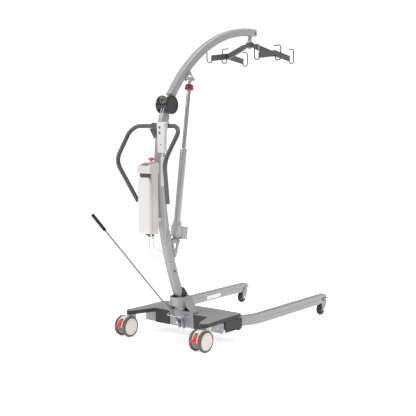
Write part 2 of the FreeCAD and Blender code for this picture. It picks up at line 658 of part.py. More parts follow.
def handle_bracket():
    back = -622.0
    block = box(CROSS_X - 20, back, -25, 25, CROSS_Z - 19, CROSS_Z + 19)
    gusset = flat_yz([(62, CROSS_Z - 14), (26, CROSS_Z - 72), (-26, CROSS_Z - 72), (-62, CROSS_Z - 14)],
                     CROSS_X + 2, CROSS_X + 10, 3)
    body = block.fuse(gusset).removeSplitter()
    body = body.cut(across(CROSS_X - 8, CROSS_Z, -70, 70, HANDLE_TUBE + 0.2))
    return body.cut(mast_body())


def control_box():
    """The back housing and its head, with the battery's bay and two stand-offs to the mast."""
    spine = flat_xy([(BOX_REAR, -BOX_HALF), (BOX_FRONT, -BOX_HALF), (BOX_FRONT, BOX_HALF), (BOX_REAR, BOX_HALF)],
                    BOX_LOW, BOX_HIGH, 9)
    head = flat_xz([(HEAD_REAR, BOX_HIGH - 4), (HEAD_REAR, 1034), (HEAD_REAR + 8, 1040), (BOX_FRONT - 12, HEAD_HIGH),
                    (BOX_FRONT + 2, HEAD_HIGH - 6), (BOX_FRONT + 2, BOX_HIGH - 4)], -BOX_HALF - 1, BOX_HALF + 1,
                   [5, 5, 6, 10, 4, 2])
    parts = [spine, head]
    for z in (730, 960):
        parts.append(box(BOX_FRONT - 4, mast_x(z) - MAST_DEEP / 2 + 6, -14, 14, z - 12, z + 12))
    body = fused(parts).cut(mast_body())
    return body.cut(upright(-722, -20, HEAD_HIGH - 16, HEAD_HIGH + 4, 16.0))


def display_window():
    slope = (HEAD_HIGH - 1040) / (BOX_FRONT - 12 - HEAD_REAR - 8)
    x0, x1 = HEAD_REAR + 12, HEAD_REAR + 36
    z0 = 1040 + slope * (x0 - HEAD_REAR - 8)
    z1 = 1040 + slope * (x1 - HEAD_REAR - 8)
    return flat_xz([(x0, z0 + 0.1), (x1, z1 + 0.1), (x1, z1 + 1.8), (x0, z0 + 1.8)], -16, 34)


def estop_button():
    stem = upright(-722, -20, HEAD_HIGH - 12, HEAD_HIGH + 14, 14.0)
    cap = upright(-722, -20, HEAD_HIGH + 12, HEAD_HIGH + 27, 32.0)
    return stem.fuse(cap).removeSplitter()


def battery_pack():
    rear_top, rear_low = BOX_REAR - 24.0, BOX_REAR - 20.0
    pack = flat_xz([(BOX_REAR - 0.4, BOX_LOW + 6), (BOX_REAR - 0.4, BOX_HIGH - 24), (rear_top, BOX_HIGH - 30),
                    (rear_low, BOX_LOW + 6)], -BOX_HALF, BOX_HALF, [2, 2, 10, 8])
    grip = box(rear_top - 2, rear_top + 16, -30, 30, BOX_HIGH - 62, BOX_HIGH - 46)
    return pack.cut(grip)


def handset_shell():
    y = HANDSET_Y
    z_top, z_low = 1282.0, 1112.0
    x0, x1 = -699.0, -673.0
    body = outline([(x0, y - 30, z_top), (x0, y + 30, z_top), (x0, y + 22, z_low), (x0, y - 22, z_low)],
                   [12, 12, 8, 8]).extrude(Vector(x1 - x0, 0, 0))
    hook = flat_xz([(x1 - 2, 1252), (x1 - 2, 1284), (-638, 1284), (-638, 1262), (-643, 1262), (-643, 1278),
                    (x1 + 1, 1278), (x1 + 1, 1252)], y - 12, y + 12)
    solid = body.fuse(hook).removeSplitter()
    for z in (1252.0, 1222.0):
        solid = solid.cut(Part.makeCylinder(7.5, 6, Vector(x0 - 1, y + 9, z), Vector(1, 0, 0)))
    gland = upright(-686, y, 1090.0, z_low, 8.0)
    return Part.makeCompound([solid, gland])


def handset_button(z):
    return Part.makeCylinder(7.0, 6.0, Vector(-702.0, HANDSET_Y + 9, z), Vector(1, 0, 0))


def cable_plugs():
    plugs = []
    for y, long in ((-24.0, 26.0), (4.0, 20.0)):
        plugs.append(upright(-716, y, BOX_LOW - long, BOX_LOW, 15.0))
    plugs.append(box(-738, -722, -12, 12, BOX_LOW - 9, BOX_LOW))
    return Part.makeCompound(plugs)


ACTUATOR_ROUTE = [(-716, -24, 629), (-716, -24, 602), (-708, -29, 572), (-684, -38, 554), (-654, -46, 550),
                  (-624, -50, 566), (-600, -50, 598), (-580, -42, 634), (-554, -24, 656), (-528.6, -12, 662.3)]
HANDSET_ROUTE = [(-686, -70, 1090), (-686, -70, 1056), (-680, -62, 1000), (-672, -56, 942), (-664, -54, 884),
                 (-656, -55, 826), (-650, -57, 768), (-650, -60, 710), (-654, -62, 652), (-662, -62, 596),
                 (-676, -56, 548), (-696, -38, 522), (-711, -14, 524), (-716, 0, 552), (-716, 4, 592),
                 (-716, 4, 635)]


# ---------------------------------------------------------------- lever
def lever_points(share):
    foot, end = LEVER_FOOT, GRIP_END
    return tuple(a + (b - a) * share for a, b in zip(foot, end))


def lever_rod():
    boss = Part.makeCylinder(15, 18, Vector(LEVER_X - 24, 0, LEVER_Z), Vector(1, 0, 0))
    cheek = rod_along((LEVER_X - 14, -8, LEVER_Z - 30), LEVER_FOOT, 17)
    rod = rod_along(LEVER_FOOT, lever_points(0.86), 11)
    body = fused([boss, cheek, rod])
    body = body.cut(Part.makeCylinder(10, 40, Vector(LEVER_X - 67.6, 0, LEVER_Z), Vector(1, 0, 0)))
    return body.cut(Part.makeCylinder(6, 60, Vector(LEVER_X - 40, 0, LEVER_Z), Vector(1, 0, 0)))


def lever_pivot():
    pin = Part.makeCylinder(5.95, 40, Vector(LEVER_X - 28, 0, LEVER_Z), Vector(1, 0, 0))
    nut = Part.makeCylinder(9, 5, Vector(LEVER_X - 33, 0, LEVER_Z), Vector(1, 0, 0))
    return pin.fuse(nut).removeSplitter()


def lever_grip():
    grip = rod_along(lever_points(0.8602), GRIP_END, 20)
    cap = Part.makeSphere(10, Vector(*GRIP_END))
    return grip.fuse(cap).removeSplitter()


def lever_spring():
    """The overload spring that lies along the lever's foot, as the sleeve of its coils."""
    lift = Vector(-3, -13.5, 4)
    a = Vector(*lever_points(0.055)) + lift
    b = Vector(*lever_points(0.16)) + lift
    return Part.makeCylinder(7.0, (b - a).Length, a, b - a)


def return_spring():
    return rod_along((LEVER_X - 14, -40, 68), (LEVER_X - 30, -38, 124), 17)


def foot_bail():
    """A wire step that wraps round behind the lever's foot."""
    x, z = -446.0, 152.0
    half = 62.0
    points = [(x, half, z), (-482, half, z - 2), (-519, half - 8, z - 6), (-519, -half + 8, z - 6),
              (-482, -half, z - 2), (x, -half, z)]
    return bent_tube(points, [0, 60, 22, 22, 60, 0], 6.0)


# ---------------------------------------------------------------- castors
def rear_axle():
    return CASTOR_X - REAR_TRAIL, REAR_WHEEL / 2


def rear_housing_left():
    x, z = rear_axle()
    y = CASTOR_Y
    half = REAR_GAUGE / 2 - REAR_TREAD / 2 - 2.0
    hood = across(x, z, y - half, y + half, REAR_WHEEL - 4)
    hood = hood.cut(flat_xz([(x - 80, z + 6), (x + 80, z - 40), (x + 80, -20), (x - 80, -20)], y - 60, y + 60))
    neck = flat_xz([(x + 4, z + 20), (CASTOR_X - 21, 124), (CASTOR_X - 21, 131.5), (CASTOR_X + 21, 131.5),
                    (CASTOR_X + 21, 112), (x + 40, z - 12)], y - half, y + half)
    hub = across(x, z, y - half, y + half, 34)
    collar = upright(CASTOR_X, y, 118, 131.8, 42)
    stem = upright(CASTOR_X, y, 131.8, 141.5, 11.9)
    body = fused([hood, neck, hub, collar, stem])
    slot = box(x - 70, x - 24, y - 13, y + 13, z - 6, z + 50)
    body = body.cut(slot)
    return body.cut(across(x, z, y - 60, y + 60, 12.0))


def rear_discs_left():
    x, z = rear_axle()
    y = CASTOR_Y
    discs = [across(x, z, y - 45, y + 45, 11.9)]
    for side in (1, -1):
        a = y + side * REAR_GAUGE / 2
        disc = across(x, z, a - REAR_TREAD / 2 + 1, a + REAR_TREAD / 2 - 1, 100)
        outer = a + side * (REAR_TREAD / 2 - 1)
        y0, y1 = sorted((outer - side * 1.5, outer + side * 0.1))
        groove = across(x, z, y0, y1, 44).cut(across(x, z, y0, y1, 36))
        discs.append(disc.cut(groove))
    return fused(discs)


def tyre(x, y, z, outer, inner, width, crown):
    w = width / 2
    r0, r1 = inner / 2, outer / 2
    profile = [(r0, -w), (r1 - crown, -w), (r1, -w + crown), (r1, w - crown), (r1 - crown, w), (r0, w)]
    radii = [0, crown, crown, crown, crown, 0]
    face = outline([(x, y + b, z + a) for a, b in profile], radii)
    return face.revolve(Vector(x, y, z), Vector(0, 1, 0), 360)


def rear_tyres_left():
    x, z = rear_axle()
    return Part.makeCompound([tyre(x, CASTOR_Y + side * REAR_GAUGE / 2, z, REAR_WHEEL, 100.0, REAR_TREAD, 4.0)
                              for side in (1, -1)])


def brake_pedal_left():
    x, z = rear_axle()
    y = CASTOR_Y
    profile = [(x - 44, z + 6), (x - 36, z + 40), (x - 50, z + 44), (x - 62, z + 30), (x - 60, z + 20),
               (x - 89, z + 15), (x - 89, z + 9), (x - 56, z + 6)]
    return flat_xz(profile, y - 11, y + 11, [2, 4, 6, 6, 4, 2, 2, 3])


def front_axle():
    return LEG_CAST_X - FRONT_TRAIL, FRONT_WHEEL / 2


def front_fork_left():
    x, z = front_axle()
    y = LEG_CAST_Y
    top = LEG_CUT - 6
    parts = [upright(LEG_CAST_X, y, top - 8, top, 40), upright(LEG_CAST_X, y, top, LEG_CUT + 10, 9.9)]
    parts.append(flat_xy([(LEG_CAST_X - 26, y - 21), (LEG_CAST_X + 14, y - 21), (LEG_CAST_X + 14, y + 21),
                          (LEG_CAST_X - 26, y + 21)], top - 15, top - 7, 8))
    for side in (1, -1):
        y0, y1 = sorted((y + side * 15.5, y + side * 20.5))
        plate = flat_xz([(x - 13, z - 4), (x - 2, z - 13), (x + 13, z - 6), (LEG_CAST_X + 16, z + 34),
                         (LEG_CAST_X + 13, top - 9), (LEG_CAST_X - 25, top - 9), (x - 10, z + 36)], y0, y1,
                        [8, 8, 10, 12, 3, 3, 14])
        parts.append(plate)
    parts.append(across(x, z, y - 23, y + 23, 9.9))
    return fused(parts)


def front_wheel_left():
    x, z = front_axle()
    hub = across(x, z, LEG_CAST_Y - 14, LEG_CAST_Y + 14, 56)
    return hub.cut(across(x, z, LEG_CAST_Y - 20, LEG_CAST_Y + 20, 10.0))


def front_tyre_left():
    x, z = front_axle()
    return tyre(x, LEG_CAST_Y, z, FRONT_WHEEL, 56.0, 26.0, 6.0)


def main():
    os.makedirs("parts", exist_ok=True)
    keep("chassis_frame", chassis_frame())
    keep("base_cover", base_cover())
    keep("mast_socket", mast_socket())
    keep("mast_wedge", mast_wedge())
    keep("leg_pivot_pins", leg_pivot_pins())
    keep("mast", mast())
    keep("hub_axle", hub_axle())
    keep("hub_cover_left", hub_cover(1))
    keep("hub_cover_right", hub_cover(-1))
    keep("boom", boom())
    keep("boom_bracket", boom_bracket())
    keep("boom_end_cap", boom_end_cap())
    keep("motor_housing", motor_housing())
    keep("actuator_tube", actuator_tube())
    keep("actuator_rod", actuator_rod())
    keep("rod_end_eye", rod_end_eye())
    keep("release_collar", release_collar())
    keep("actuator_bracket", actuator_bracket())
    keep("hanger_head", hanger_head())
    keep("hanger_hub", hanger_hub())
    keep("spreader_arms", spreader_arms())
    keep("sling_hooks", sling_hooks())
    keep("push_handle", push_handle())
    keep("handle_bracket", handle_bracket())
    keep("control_box", control_box())
    keep("display_window", display_window())
    keep("estop_button", estop_button())
    keep("battery_pack", battery_pack())
    keep("handset_shell", handset_shell())
    keep("up_button", handset_button(1252.0))
    keep("down_button", handset_button(1222.0))
    keep("cable_plugs", cable_plugs())
    keep("actuator_cable", cord("actuator_cable", ACTUATOR_ROUTE, 6.0))
    keep("handset_cable", cord("handset_cable", HANDSET_ROUTE, 5.0))
    keep("lever_rod", lever_rod())
    keep("lever_grip", lever_grip())
    keep("lever_pivot", lever_pivot())
    keep("lever_spring", lever_spring())
    keep("return_spring", return_spring())
    keep("foot_bail", foot_bail())
    handed = {"crossbar": crossbar_left, "leg": leg_left, "leg_cover": leg_cover_left,
              "rear_housing": rear_housing_left, "rear_discs": rear_discs_left, "rear_tyres": rear_tyres_left,
              "brake_pedal": brake_pedal_left, "front_fork": front_fork_left, "front_wheel": front_wheel_left,
              "front_tyre": front_tyre_left}
    for name, make in handed.items():
        left = make()
        keep(name + "_left", left)
        keep(name + "_right", mirrored(left))


main()
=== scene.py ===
"""Visual model of a mobile patient hoist: an add-on with one operator for each group of pieces."""
import json
import math

import bpy
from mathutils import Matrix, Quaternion, Vector


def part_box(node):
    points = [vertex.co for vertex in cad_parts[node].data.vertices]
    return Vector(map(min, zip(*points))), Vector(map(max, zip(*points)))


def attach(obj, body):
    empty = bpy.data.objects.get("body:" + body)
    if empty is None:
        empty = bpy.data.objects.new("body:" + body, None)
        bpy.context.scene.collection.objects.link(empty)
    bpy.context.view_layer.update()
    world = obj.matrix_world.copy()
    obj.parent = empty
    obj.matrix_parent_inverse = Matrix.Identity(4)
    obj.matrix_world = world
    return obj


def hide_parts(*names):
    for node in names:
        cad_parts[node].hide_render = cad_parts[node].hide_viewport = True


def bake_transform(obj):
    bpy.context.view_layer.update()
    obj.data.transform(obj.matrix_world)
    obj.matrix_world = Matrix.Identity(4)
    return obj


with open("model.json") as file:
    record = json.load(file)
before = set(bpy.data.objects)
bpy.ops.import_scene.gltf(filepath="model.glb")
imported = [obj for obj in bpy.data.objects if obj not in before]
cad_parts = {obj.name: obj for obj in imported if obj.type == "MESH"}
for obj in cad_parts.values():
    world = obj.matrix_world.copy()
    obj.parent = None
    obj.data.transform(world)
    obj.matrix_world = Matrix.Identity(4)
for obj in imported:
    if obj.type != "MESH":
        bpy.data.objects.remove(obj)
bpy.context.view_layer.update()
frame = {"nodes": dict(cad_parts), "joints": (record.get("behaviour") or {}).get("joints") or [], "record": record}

bl_info = {
    "name": "Patient hoist",
    "version": (1, 0, 0),
    "blender": (4, 5, 0),
    "location": "View3D > Sidebar > Hoist",
    "description": "Builds the covers, castors, controls, cables and finishes of a mobile patient hoist",
    "category": "Object",
}

# ---------------------------------------------------------------- places taken from the frame
SIDES = (("left", 1), ("right", -1))


def middle(node):
    low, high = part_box(node)
    return (low + high) / 2


def joint_place(name):
    return Vector(next(j["pos_m"] for j in frame["joints"] if j["name"] == name))


def joint_axis(name):
    return Vector(next(j["axis"] for j in frame["joints"] if j["name"] == name))


HUB = joint_place("boom_lift")
ACTUATOR_FOOT = joint_place("actuator_tilt")
ACTUATOR_AXIS = joint_axis("rod_slide")

# ---------------------------------------------------------------- places and sizes in metres
LEVER_FOOT = Vector((-0.362, 0.010, 0.128))
LEVER_END = Vector((-0.792, 0.254, 0.757))
GRIP_START = 0.8602  # share of the lever's length
REAR_WHEEL_RADIUS = 0.0625
FRONT_WHEEL_RADIUS = 0.038
TUBE_HALF = 0.0219  # from the middle to just inside the mast's or boom's side wall
MAST_PLUG = (-0.408, 0.418)
BOOM_PLUG = (0.402, 1.858)
GUSSET_BOLTS = ((-0.308, 0.262), (-0.282, 0.222))
GUSSET_HALF = 0.0310
COVER_SCREWS = ((-0.462, 0.276), (-0.436, 0.300))
COVER_TOP = 0.156
BOX_SCREW_X = -0.588
BOX_HALF = 0.0458
LEG_INNER = 0.3060
CAMERA_PLACE = Vector((-4.014, -3.124, 1.234))
CAMERA_TARGET = Vector((-0.067, 0.0, 0.761))
CAMERA_ANGLE = math.radians(28.365)
LAMP_TARGET = Vector((0, 0, 0.8))

# from the control box's plug, in a hanging loop, to the motor housing
ACTUATOR_ROUTE = [
    (-0.596, -0.024, 0.629), (-0.596, -0.024, 0.602), (-0.588, -0.029, 0.572), (-0.564, -0.038, 0.554),
    (-0.534, -0.046, 0.550), (-0.504, -0.050, 0.566), (-0.480, -0.050, 0.598), (-0.460, -0.042, 0.634),
    (-0.434, -0.024, 0.656), (-0.4086, -0.012, 0.6623),
]
# from the hand control, down beside the mast, and up to the control box's other plug
HANDSET_ROUTE = [
    (-0.566, -0.070, 1.090), (-0.566, -0.069, 1.056), (-0.560, -0.062, 1.000), (-0.552, -0.056, 0.942),
    (-0.544, -0.054, 0.884), (-0.536, -0.055, 0.826), (-0.530, -0.057, 0.768), (-0.530, -0.060, 0.710),
    (-0.534, -0.062, 0.652), (-0.542, -0.062, 0.596), (-0.556, -0.056, 0.548), (-0.576, -0.038, 0.522),
    (-0.591, -0.014, 0.524), (-0.596, 0.000, 0.552), (-0.596, 0.004, 0.592), (-0.596, 0.004, 0.635),
]


# ---------------------------------------------------------------- shader maths
class Value:
    """A shader socket that takes part in Python expressions; each operator adds its Math node."""

    def __init__(self, finish, socket):
        self.finish = finish
        self.socket = socket

    def maths(self, operation, first, second):
        return self.finish.node("ShaderNodeMath", {"operation": operation}, {0: first, 1: second})

    def __add__(self, other):
        return self.maths("ADD", self, other)

    def __radd__(self, other):
        return self.maths("ADD", other, self)

    def __sub__(self, other):
        return self.maths("SUBTRACT", self, other)

    def __rsub__(self, other):
        return self.maths("SUBTRACT", other, self)

    def __mul__(self, other):
        return self.maths("MULTIPLY", self, other)

    def __rmul__(self, other):
        return self.maths("MULTIPLY", other, self)

    def __pow__(self, other):
        return self.maths("POWER", self, other)

    def __gt__(self, other):
        return self.maths("GREATER_THAN", self, other)

    def __lt__(self, other):
        return self.maths("LESS_THAN", self, other)


class Finish:
    """One surface finish: a material, its shader and the nodes that feed it."""

    def __init__(self, name, **constants):
        self.material = bpy.data.materials.new(name)
        self.material.use_nodes = True
        self.tree = self.material.node_tree
        self.shader = self.tree.nodes["Principled BSDF"]
        self.place = self.node("ShaderNodeTexCoord", output="Object")
        for key, value in constants.items():
            self.put(self.shader.inputs[key.replace("_", " ")], value)

    def node(self, kind, settings=None, inputs=None, output=0):
        made = self.tree.nodes.new(kind)
        for key, value in (settings or {}).items():
            if key == "stops":
                for element, (place, colour) in zip(made.color_ramp.elements, value):
                    element.position = place
                    element.color = colour
            else:
                setattr(made, key, value)
        for key, value in (inputs or {}).items():
            self.put(made.inputs[key], value)
        return Value(self, made.outputs[output])

    def put(self, socket, value):
        if isinstance(value, Value):
            self.tree.links.new(value.socket, socket)
        elif socket.type == "RGBA" and len(value) == 3:
            socket.default_value = (*value, 1.0)
        else:
            socket.default_value = value

    def feed(self, name, value):
        self.put(self.shader.inputs[name], value)

    def grain(self, scale, detail=2.0, place=None):
        return self.node("ShaderNodeTexNoise", None,
                         {"Vector": place or self.place, "Scale": scale, "Detail": detail})

    def stretched(self, scale):
        return self.node("ShaderNodeMapping", None, {"Vector": self.place, "Scale": scale})

    def between(self, share, first, second):
        return self.node("ShaderNodeMix", {"data_type": "RGBA"}, {0: share, 6: first, 7: second}, 2)

    def ramp(self, value, low, high):
        """0 below low and 1 above high, straight between."""
        return self.node("ShaderNodeMapRange", None, {0: value, 1: low, 2: high, 3: 0.0, 4: 1.0})

    def bump(self, height, strength, distance):
        self.feed("Normal", self.node("ShaderNodeBump", None,
                                      {"Strength": strength, "Distance": distance, "Height": height}))

    def edges(self):
        """1 along raised edges, where hands and straps rub, and 0 elsewhere."""
        sharp = self.node("ShaderNodeNewGeometry", output="Pointiness")
        return self.ramp(sharp, 0.53, 0.60)


def tinted(colour, share):
    return tuple(min(c * share, 1.0) for c in colour)


# ---------------------------------------------------------------- finishes
def silver_paint(colours):
    f = Finish("silver_paint", Metallic=0.35, Coat_Weight=0.20, Coat_Roughness=0.30)
    flakes = f.grain(1900.0, 1.0)
    cloud = f.grain(5.0, 3.0)
    base = f.between(flakes, tinted(colours.silver, 0.97), tinted(colours.silver, 1.03))
    worn = f.edges() * f.ramp(f.grain(60.0, 4.0), 0.5, 0.7) * 0.5
    clouded = f.between(cloud * 0.35, base, tinted(colours.silver, 0.88))
    f.feed("Base Color", f.between(worn, clouded, (0.72, 0.72, 0.74)))
    f.feed("Roughness", 0.38 + cloud * 0.08)
    f.bump(f.grain(900.0, 2.0), 0.04, 0.0002)
    return f.material


def dark_paint(colours):
    f = Finish("dark_paint", Metallic=0.1, Coat_Weight=0.15, Coat_Roughness=0.3)
    cloud = f.grain(8.0, 3.0)
    worn = f.edges() * f.ramp(f.grain(80.0, 4.0), 0.48, 0.62) * 0.6
    base = f.between(cloud, tinted(colours.dark, 0.85), tinted(colours.dark, 1.15))
    f.feed("Base Color", f.between(worn, base, (0.24, 0.24, 0.25)))
    f.feed("Roughness", 0.40 + cloud * 0.14)
    f.bump(f.grain(700.0, 2.0), 0.08, 0.0003)
    return f.material


def moulding(name, colour, roughness, pebble=1100.0, depth=0.2, dirt=0.1):
    """Moulded plastic with a fine spark-eroded texture and faint handling marks."""
    f = Finish(name, Specular_IOR_Level=0.45)
    cloud = f.grain(9.0, 4.0)
    base = f.between(cloud, tinted(colour, 1.0 - dirt), tinted(colour, 1.0 + dirt * 0.5))
    rubbed = f.edges() * 0.25
    f.feed("Base Color", f.between(rubbed, base, tinted(colour, 1.35)))
    f.feed("Roughness", roughness + (cloud - 0.5) * 0.12)
    f.bump(f.grain(pebble, 2.0), depth, 0.0004)
    return f.material


def cover_plastic(colours):
    """The base cover: its top is painted a lighter grey than its skirts, as painted light from above, and is
    scuffed.
    """
    f = Finish("cover_plastic", Specular_IOR_Level=0.4)
    # the face's tilt picks the colour: upward faces get the lighter top grey, which is painted light from above
    lit_from_above = f.node("ShaderNodeSeparateXYZ", None, {0: f.node("ShaderNodeNewGeometry", output="Normal")}, 2)
    cloud = f.grain(7.0, 4.0)
    scuffs = f.ramp(f.grain(1.0, 5.0, f.stretched((40.0, 9.0, 1.0))), 0.62, 0.72) * 0.18
    # the top's lighter grey is painted light from above; the scuffs mixed into it are real wear
    top = f.between(cloud, tinted(colours.cover_top, 0.93), tinted(colours.cover_top, 1.06))
    top = f.between(scuffs, top, tinted(colours.cover_top, 1.25))
    side = f.between(cloud, tinted(colours.cover_side, 0.88), tinted(colours.cover_side, 1.12))
    f.feed("Base Color", f.between(f.ramp(lit_from_above, 0.35, 0.9), side, top))
    f.feed("Roughness", 0.48 + cloud * 0.12)
    f.bump(f.grain(1400.0, 2.0), 0.35, 0.0004)
    return f.material


def bright_metal(name, colour, roughness, brushed):
    """Plated or turned metal: streaks across the piece change its roughness."""
    f = Finish(name, Metallic=1.0)
    streaks = f.grain(1.0, 3.0, f.stretched(brushed))
    stain = f.grain(30.0, 4.0)
    f.feed("Base Color", f.between(stain, tinted(colour, 0.9), tinted(colour, 1.05)))
    f.feed("Roughness", roughness + streaks * 0.10)
    f.bump(streaks, 0.02, 0.0001)
    return f.material


def rubber(name, colour, roughness=0.7):
    f = Finish(name, Specular_IOR_Level=0.3)
    dust = f.ramp(f.grain(40.0, 5.0), 0.45, 0.75)
    f.feed("Base Color", f.between(dust * 0.5, colour, tinted(colour, 1.5)))
    f.feed("Roughness", roughness + dust * 0.15)
    f.bump(f.grain(500.0, 3.0), 0.3, 0.0005)
    return f.material


def gloss(name, colour, roughness=0.16, coat=0.5):
    f = Finish(name, Coat_Weight=coat, Coat_Roughness=0.08)
    smear = f.grain(25.0, 4.0)
    f.feed("Base Color", f.between(smear, tinted(colour, 0.92), tinted(colour, 1.06)))
    f.feed("Roughness", roughness + smear * 0.12)
    f.bump(f.grain(120.0, 2.0), 0.03, 0.0004)
    return f.material


def label_print(colours):
    """A plain white strip with rows of faint grey bars, and no words or signs."""
    f = Finish("label_print", Specular_IOR_Level=0.4)
    height = f.node("ShaderNodeSeparateXYZ", None, {0: f.place}, 2)
    across = f.node("ShaderNodeSeparateXYZ", None, {0: f.place}, 1)
    rows = f.node("ShaderNodeMath", {"operation": "FRACT"}, {0: height * 70.0})
    row_ink = (rows > 0.62) * (f.grain(1.0, 0.0, f.stretched((1.0, 320.0, 70.0))) > 0.5)
    inside = (across < 0.013) * (across > -0.013)
    paper = f.between(f.grain(30.0, 3.0), (0.78, 0.78, 0.78), (0.86, 0.86, 0.85))
    f.feed("Base Color", f.between(row_ink * inside * 0.45, paper, (0.42, 0.40, 0.42)))
    f.feed("Roughness", 0.35 + row_ink * 0.1)
    return f.material


def clear_catch(colours):
    f = Finish("clear_catch", Roughness=0.3, Alpha=0.55)
    f.feed("Base Color", f.between(f.grain(60.0), (0.78, 0.74, 0.70), (0.86, 0.84, 0.81)))
    return f.material


MADE = {}
OWN_FINISHES = {
    "silver_paint": silver_paint,
    "dark_paint": dark_paint,
    "cover_plastic": cover_plastic,
    "label_print": label_print,
    "clear_catch": clear_catch,
}
# each with its maker, its colour or colour setting, the share of that colour and the maker's other values
FINISHES = {
    "hub_gloss": (gloss, "hub", 1.0, 0.20, 0.4),
    "hub_face": (moulding, "hub", 1.7, 0.55, 900.0, 0.3),
    "black_plastic": (moulding, (0.030, 0.030, 0.033), 1.0, 0.42),
    "box_white": (moulding, "box_white", 1.0, 0.42, 1500.0, 0.10, 0.03),
    "rod_steel": (bright_metal, (0.30, 0.30, 0.305), 1.0, 0.38, (200.0, 200.0, 200.0)),
    # the control box's warm grey is a darker copy of the box white: painted shade on the box's sides and spine
    "box_grey": (moulding, "box_grey", 1.0, 0.45, 1500.0, 0.12, 0.05),
    "handset_white": (moulding, "box_white", 0.97, 0.40, 1500.0, 0.10, 0.04),
    "actuator_grey": (moulding, "actuator", 1.0, 0.42, 1200.0, 0.15, 0.05),
    "alloy_tube": (bright_metal, (0.60, 0.595, 0.61), 1.0, 0.30, (500.0, 500.0, 6.0)),
    "chrome_rod": (bright_metal, (0.62, 0.62, 0.64), 1.0, 0.20, (300.0, 300.0, 4.0)),
    "zinc_steel": (bright_metal, (0.60, 0.60, 0.62), 1.0, 0.30, (60.0, 60.0, 60.0)),
    "blue_zinc": (bright_metal, (0.34, 0.40, 0.48), 1.0, 0.30, (90.0, 90.0, 90.0)),
    "collar_red": (moulding, "collar_red", 1.0, 0.38, 1200.0, 0.15),
    "pedal_red": (moulding, "pedal_red", 1.0, 0.40, 1200.0, 0.15, 0.05),
    "stop_red": (gloss, "stop_red", 1.0, 0.25, 0.3),
    "display_glass": (gloss, (0.030, 0.032, 0.045), 1.0, 0.06, 1.0),
    "castor_cream": (moulding, "castor_cream", 1.0, 0.45, 1300.0, 0.12, 0.05),
    "castor_tan": (moulding, "castor_cream", 0.62, 0.5, 1300.0, 0.12, 0.08),
    "fork_taupe": (moulding, (0.37, 0.34, 0.31), 1.0, 0.45, 1300.0, 0.15, 0.08),
    "tyre_grey": (rubber, "tyre_grey", 1.0),
    "tyre_dark": (rubber, (0.045, 0.042, 0.040), 1.0),
    "wheel_dark": (moulding, (0.07, 0.065, 0.06), 1.0, 0.5),
    "grip_rubber": (rubber, (0.018, 0.018, 0.019), 1.0, 0.55),
    "key_rubber": (rubber, (0.16, 0.16, 0.17), 1.0, 0.6),
    "recess_black": (moulding, (0.055, 0.050, 0.048), 1.0, 0.6),
    "plug_brown": (moulding, (0.075, 0.060, 0.050), 1.0, 0.5),
    "sheath_cream": (rubber, "sheath", 1.0, 0.45),
}


def finish(name):
    """The material of that name, made when it is first asked for."""
    if name not in MADE:
        colours = bpy.context.scene.hoist_colours
        if name in OWN_FINISHES:
            MADE[name] = OWN_FINISHES[name](colours)
        else:
            maker, colour, share, *values = FINISHES[name]
            if isinstance(colour, str):
                colour = getattr(colours, colour)
            MADE[name] = maker(name, tinted(colour, share), *values)
    return MADE[name]


# ---------------------------------------------------------------- modelling by operators
def alone(piece):
    bpy.ops.object.select_all(action="DESELECT")
    piece.select_set(True)
    bpy.context.view_layer.objects.active = piece


def opened(piece):
    """Open the piece's mesh for editing, with all of it selected."""
    alone(piece)
    bpy.ops.object.mode_set(mode="EDIT")
    bpy.ops.mesh.select_all(action="SELECT")


def shut():
    bpy.ops.object.mode_set(mode="OBJECT")


def named(name):
    piece = bpy.context.object
    piece.name = name
    piece.data.name = name
    return piece


def context_object(name):
    bpy.context.object.name = name
    return bpy.context.object


def settled(piece):
    """Put the object's place and turn into its mesh."""
    alone(piece)
    bpy.ops.object.transform_apply(location=True, rotation=True, scale=True)
    return piece


def aimed(piece, start, direction, spin=0.0):
    """Stand a piece that was drawn upright on the origin on a start point, along a direction."""
    piece.rotation_mode = "QUATERNION"
    piece.rotation_quaternion = Vector(direction).to_track_quat("Z", "Y") @ Quaternion((0, 0, 1), spin)
    piece.location = start
    return settled(piece)


def closed_up(piece):
    """Merge doubles and turn every face outwards."""
    opened(piece)
    bpy.ops.mesh.remove_doubles(threshold=1e-6)
    bpy.ops.mesh.normals_make_consistent(inside=False)
    shut()
    return piece


def grow(steps, first):
    """Extrude the selected face upwards through steps of (height, x size, y size)."""
    height, wide, deep = first
    for step in steps:
        bpy.ops.mesh.extrude_region_move(TRANSFORM_OT_translate={"value": (0, 0, step[0] - height)})
        ratio = (step[1] / wide, step[2] / deep, 1)
        bpy.ops.transform.resize(value=ratio, center_override=(0, 0, step[0]))
        height, wide, deep = step


def turned(name, steps, sides=48):
    """A turned piece about the Z axis from (height, radius) steps."""
    height, radius = steps[0]
    bpy.ops.mesh.primitive_circle_add(vertices=sides, radius=radius, fill_type="NGON",
                                      location=(0, 0, height))
    piece = settled(named(name))
    opened(piece)
    grow([(z, r, r) for z, r in steps[1:]], (height, radius, radius))
    shut()
    return closed_up(piece)


def moulded(name, corner, steps, segments=6):
    """A rounded-rectangle moulding about the Z axis from (height, x size, y size) steps."""
    height, wide, deep = steps[0]
    bpy.ops.mesh.primitive_plane_add(size=1, location=(0, 0, height))
    piece = named(name)
    piece.scale = (wide, deep, 1)
    opened(settled(piece))
    bpy.ops.mesh.bevel(offset=corner, segments=segments, affect="VERTICES")
    bpy.ops.mesh.select_all(action="SELECT")
    grow(steps[1:], steps[0])
    shut()
    return closed_up(piece)


def ringed(name, radius, depth, width, sides=20):
    """A rounded ring about the Z axis, widened along it, from its outer radius, depth and width."""
    bpy.ops.mesh.primitive_torus_add(major_segments=72, minor_segments=sides,
                                     major_radius=radius - depth / 2, minor_radius=depth / 2)
    ring = named(name)
    ring.scale = (1, 1, width / depth)
    return settled(ring)


def modified(piece, kind, **settings):
    """Add a modifier, set it and apply it."""
    alone(piece)
    modifier = piece.modifiers.new(kind.title(), kind)
    for key, value in settings.items():
        setattr(modifier, key, value)
    bpy.ops.object.modifier_apply(modifier=modifier.name)
    return piece


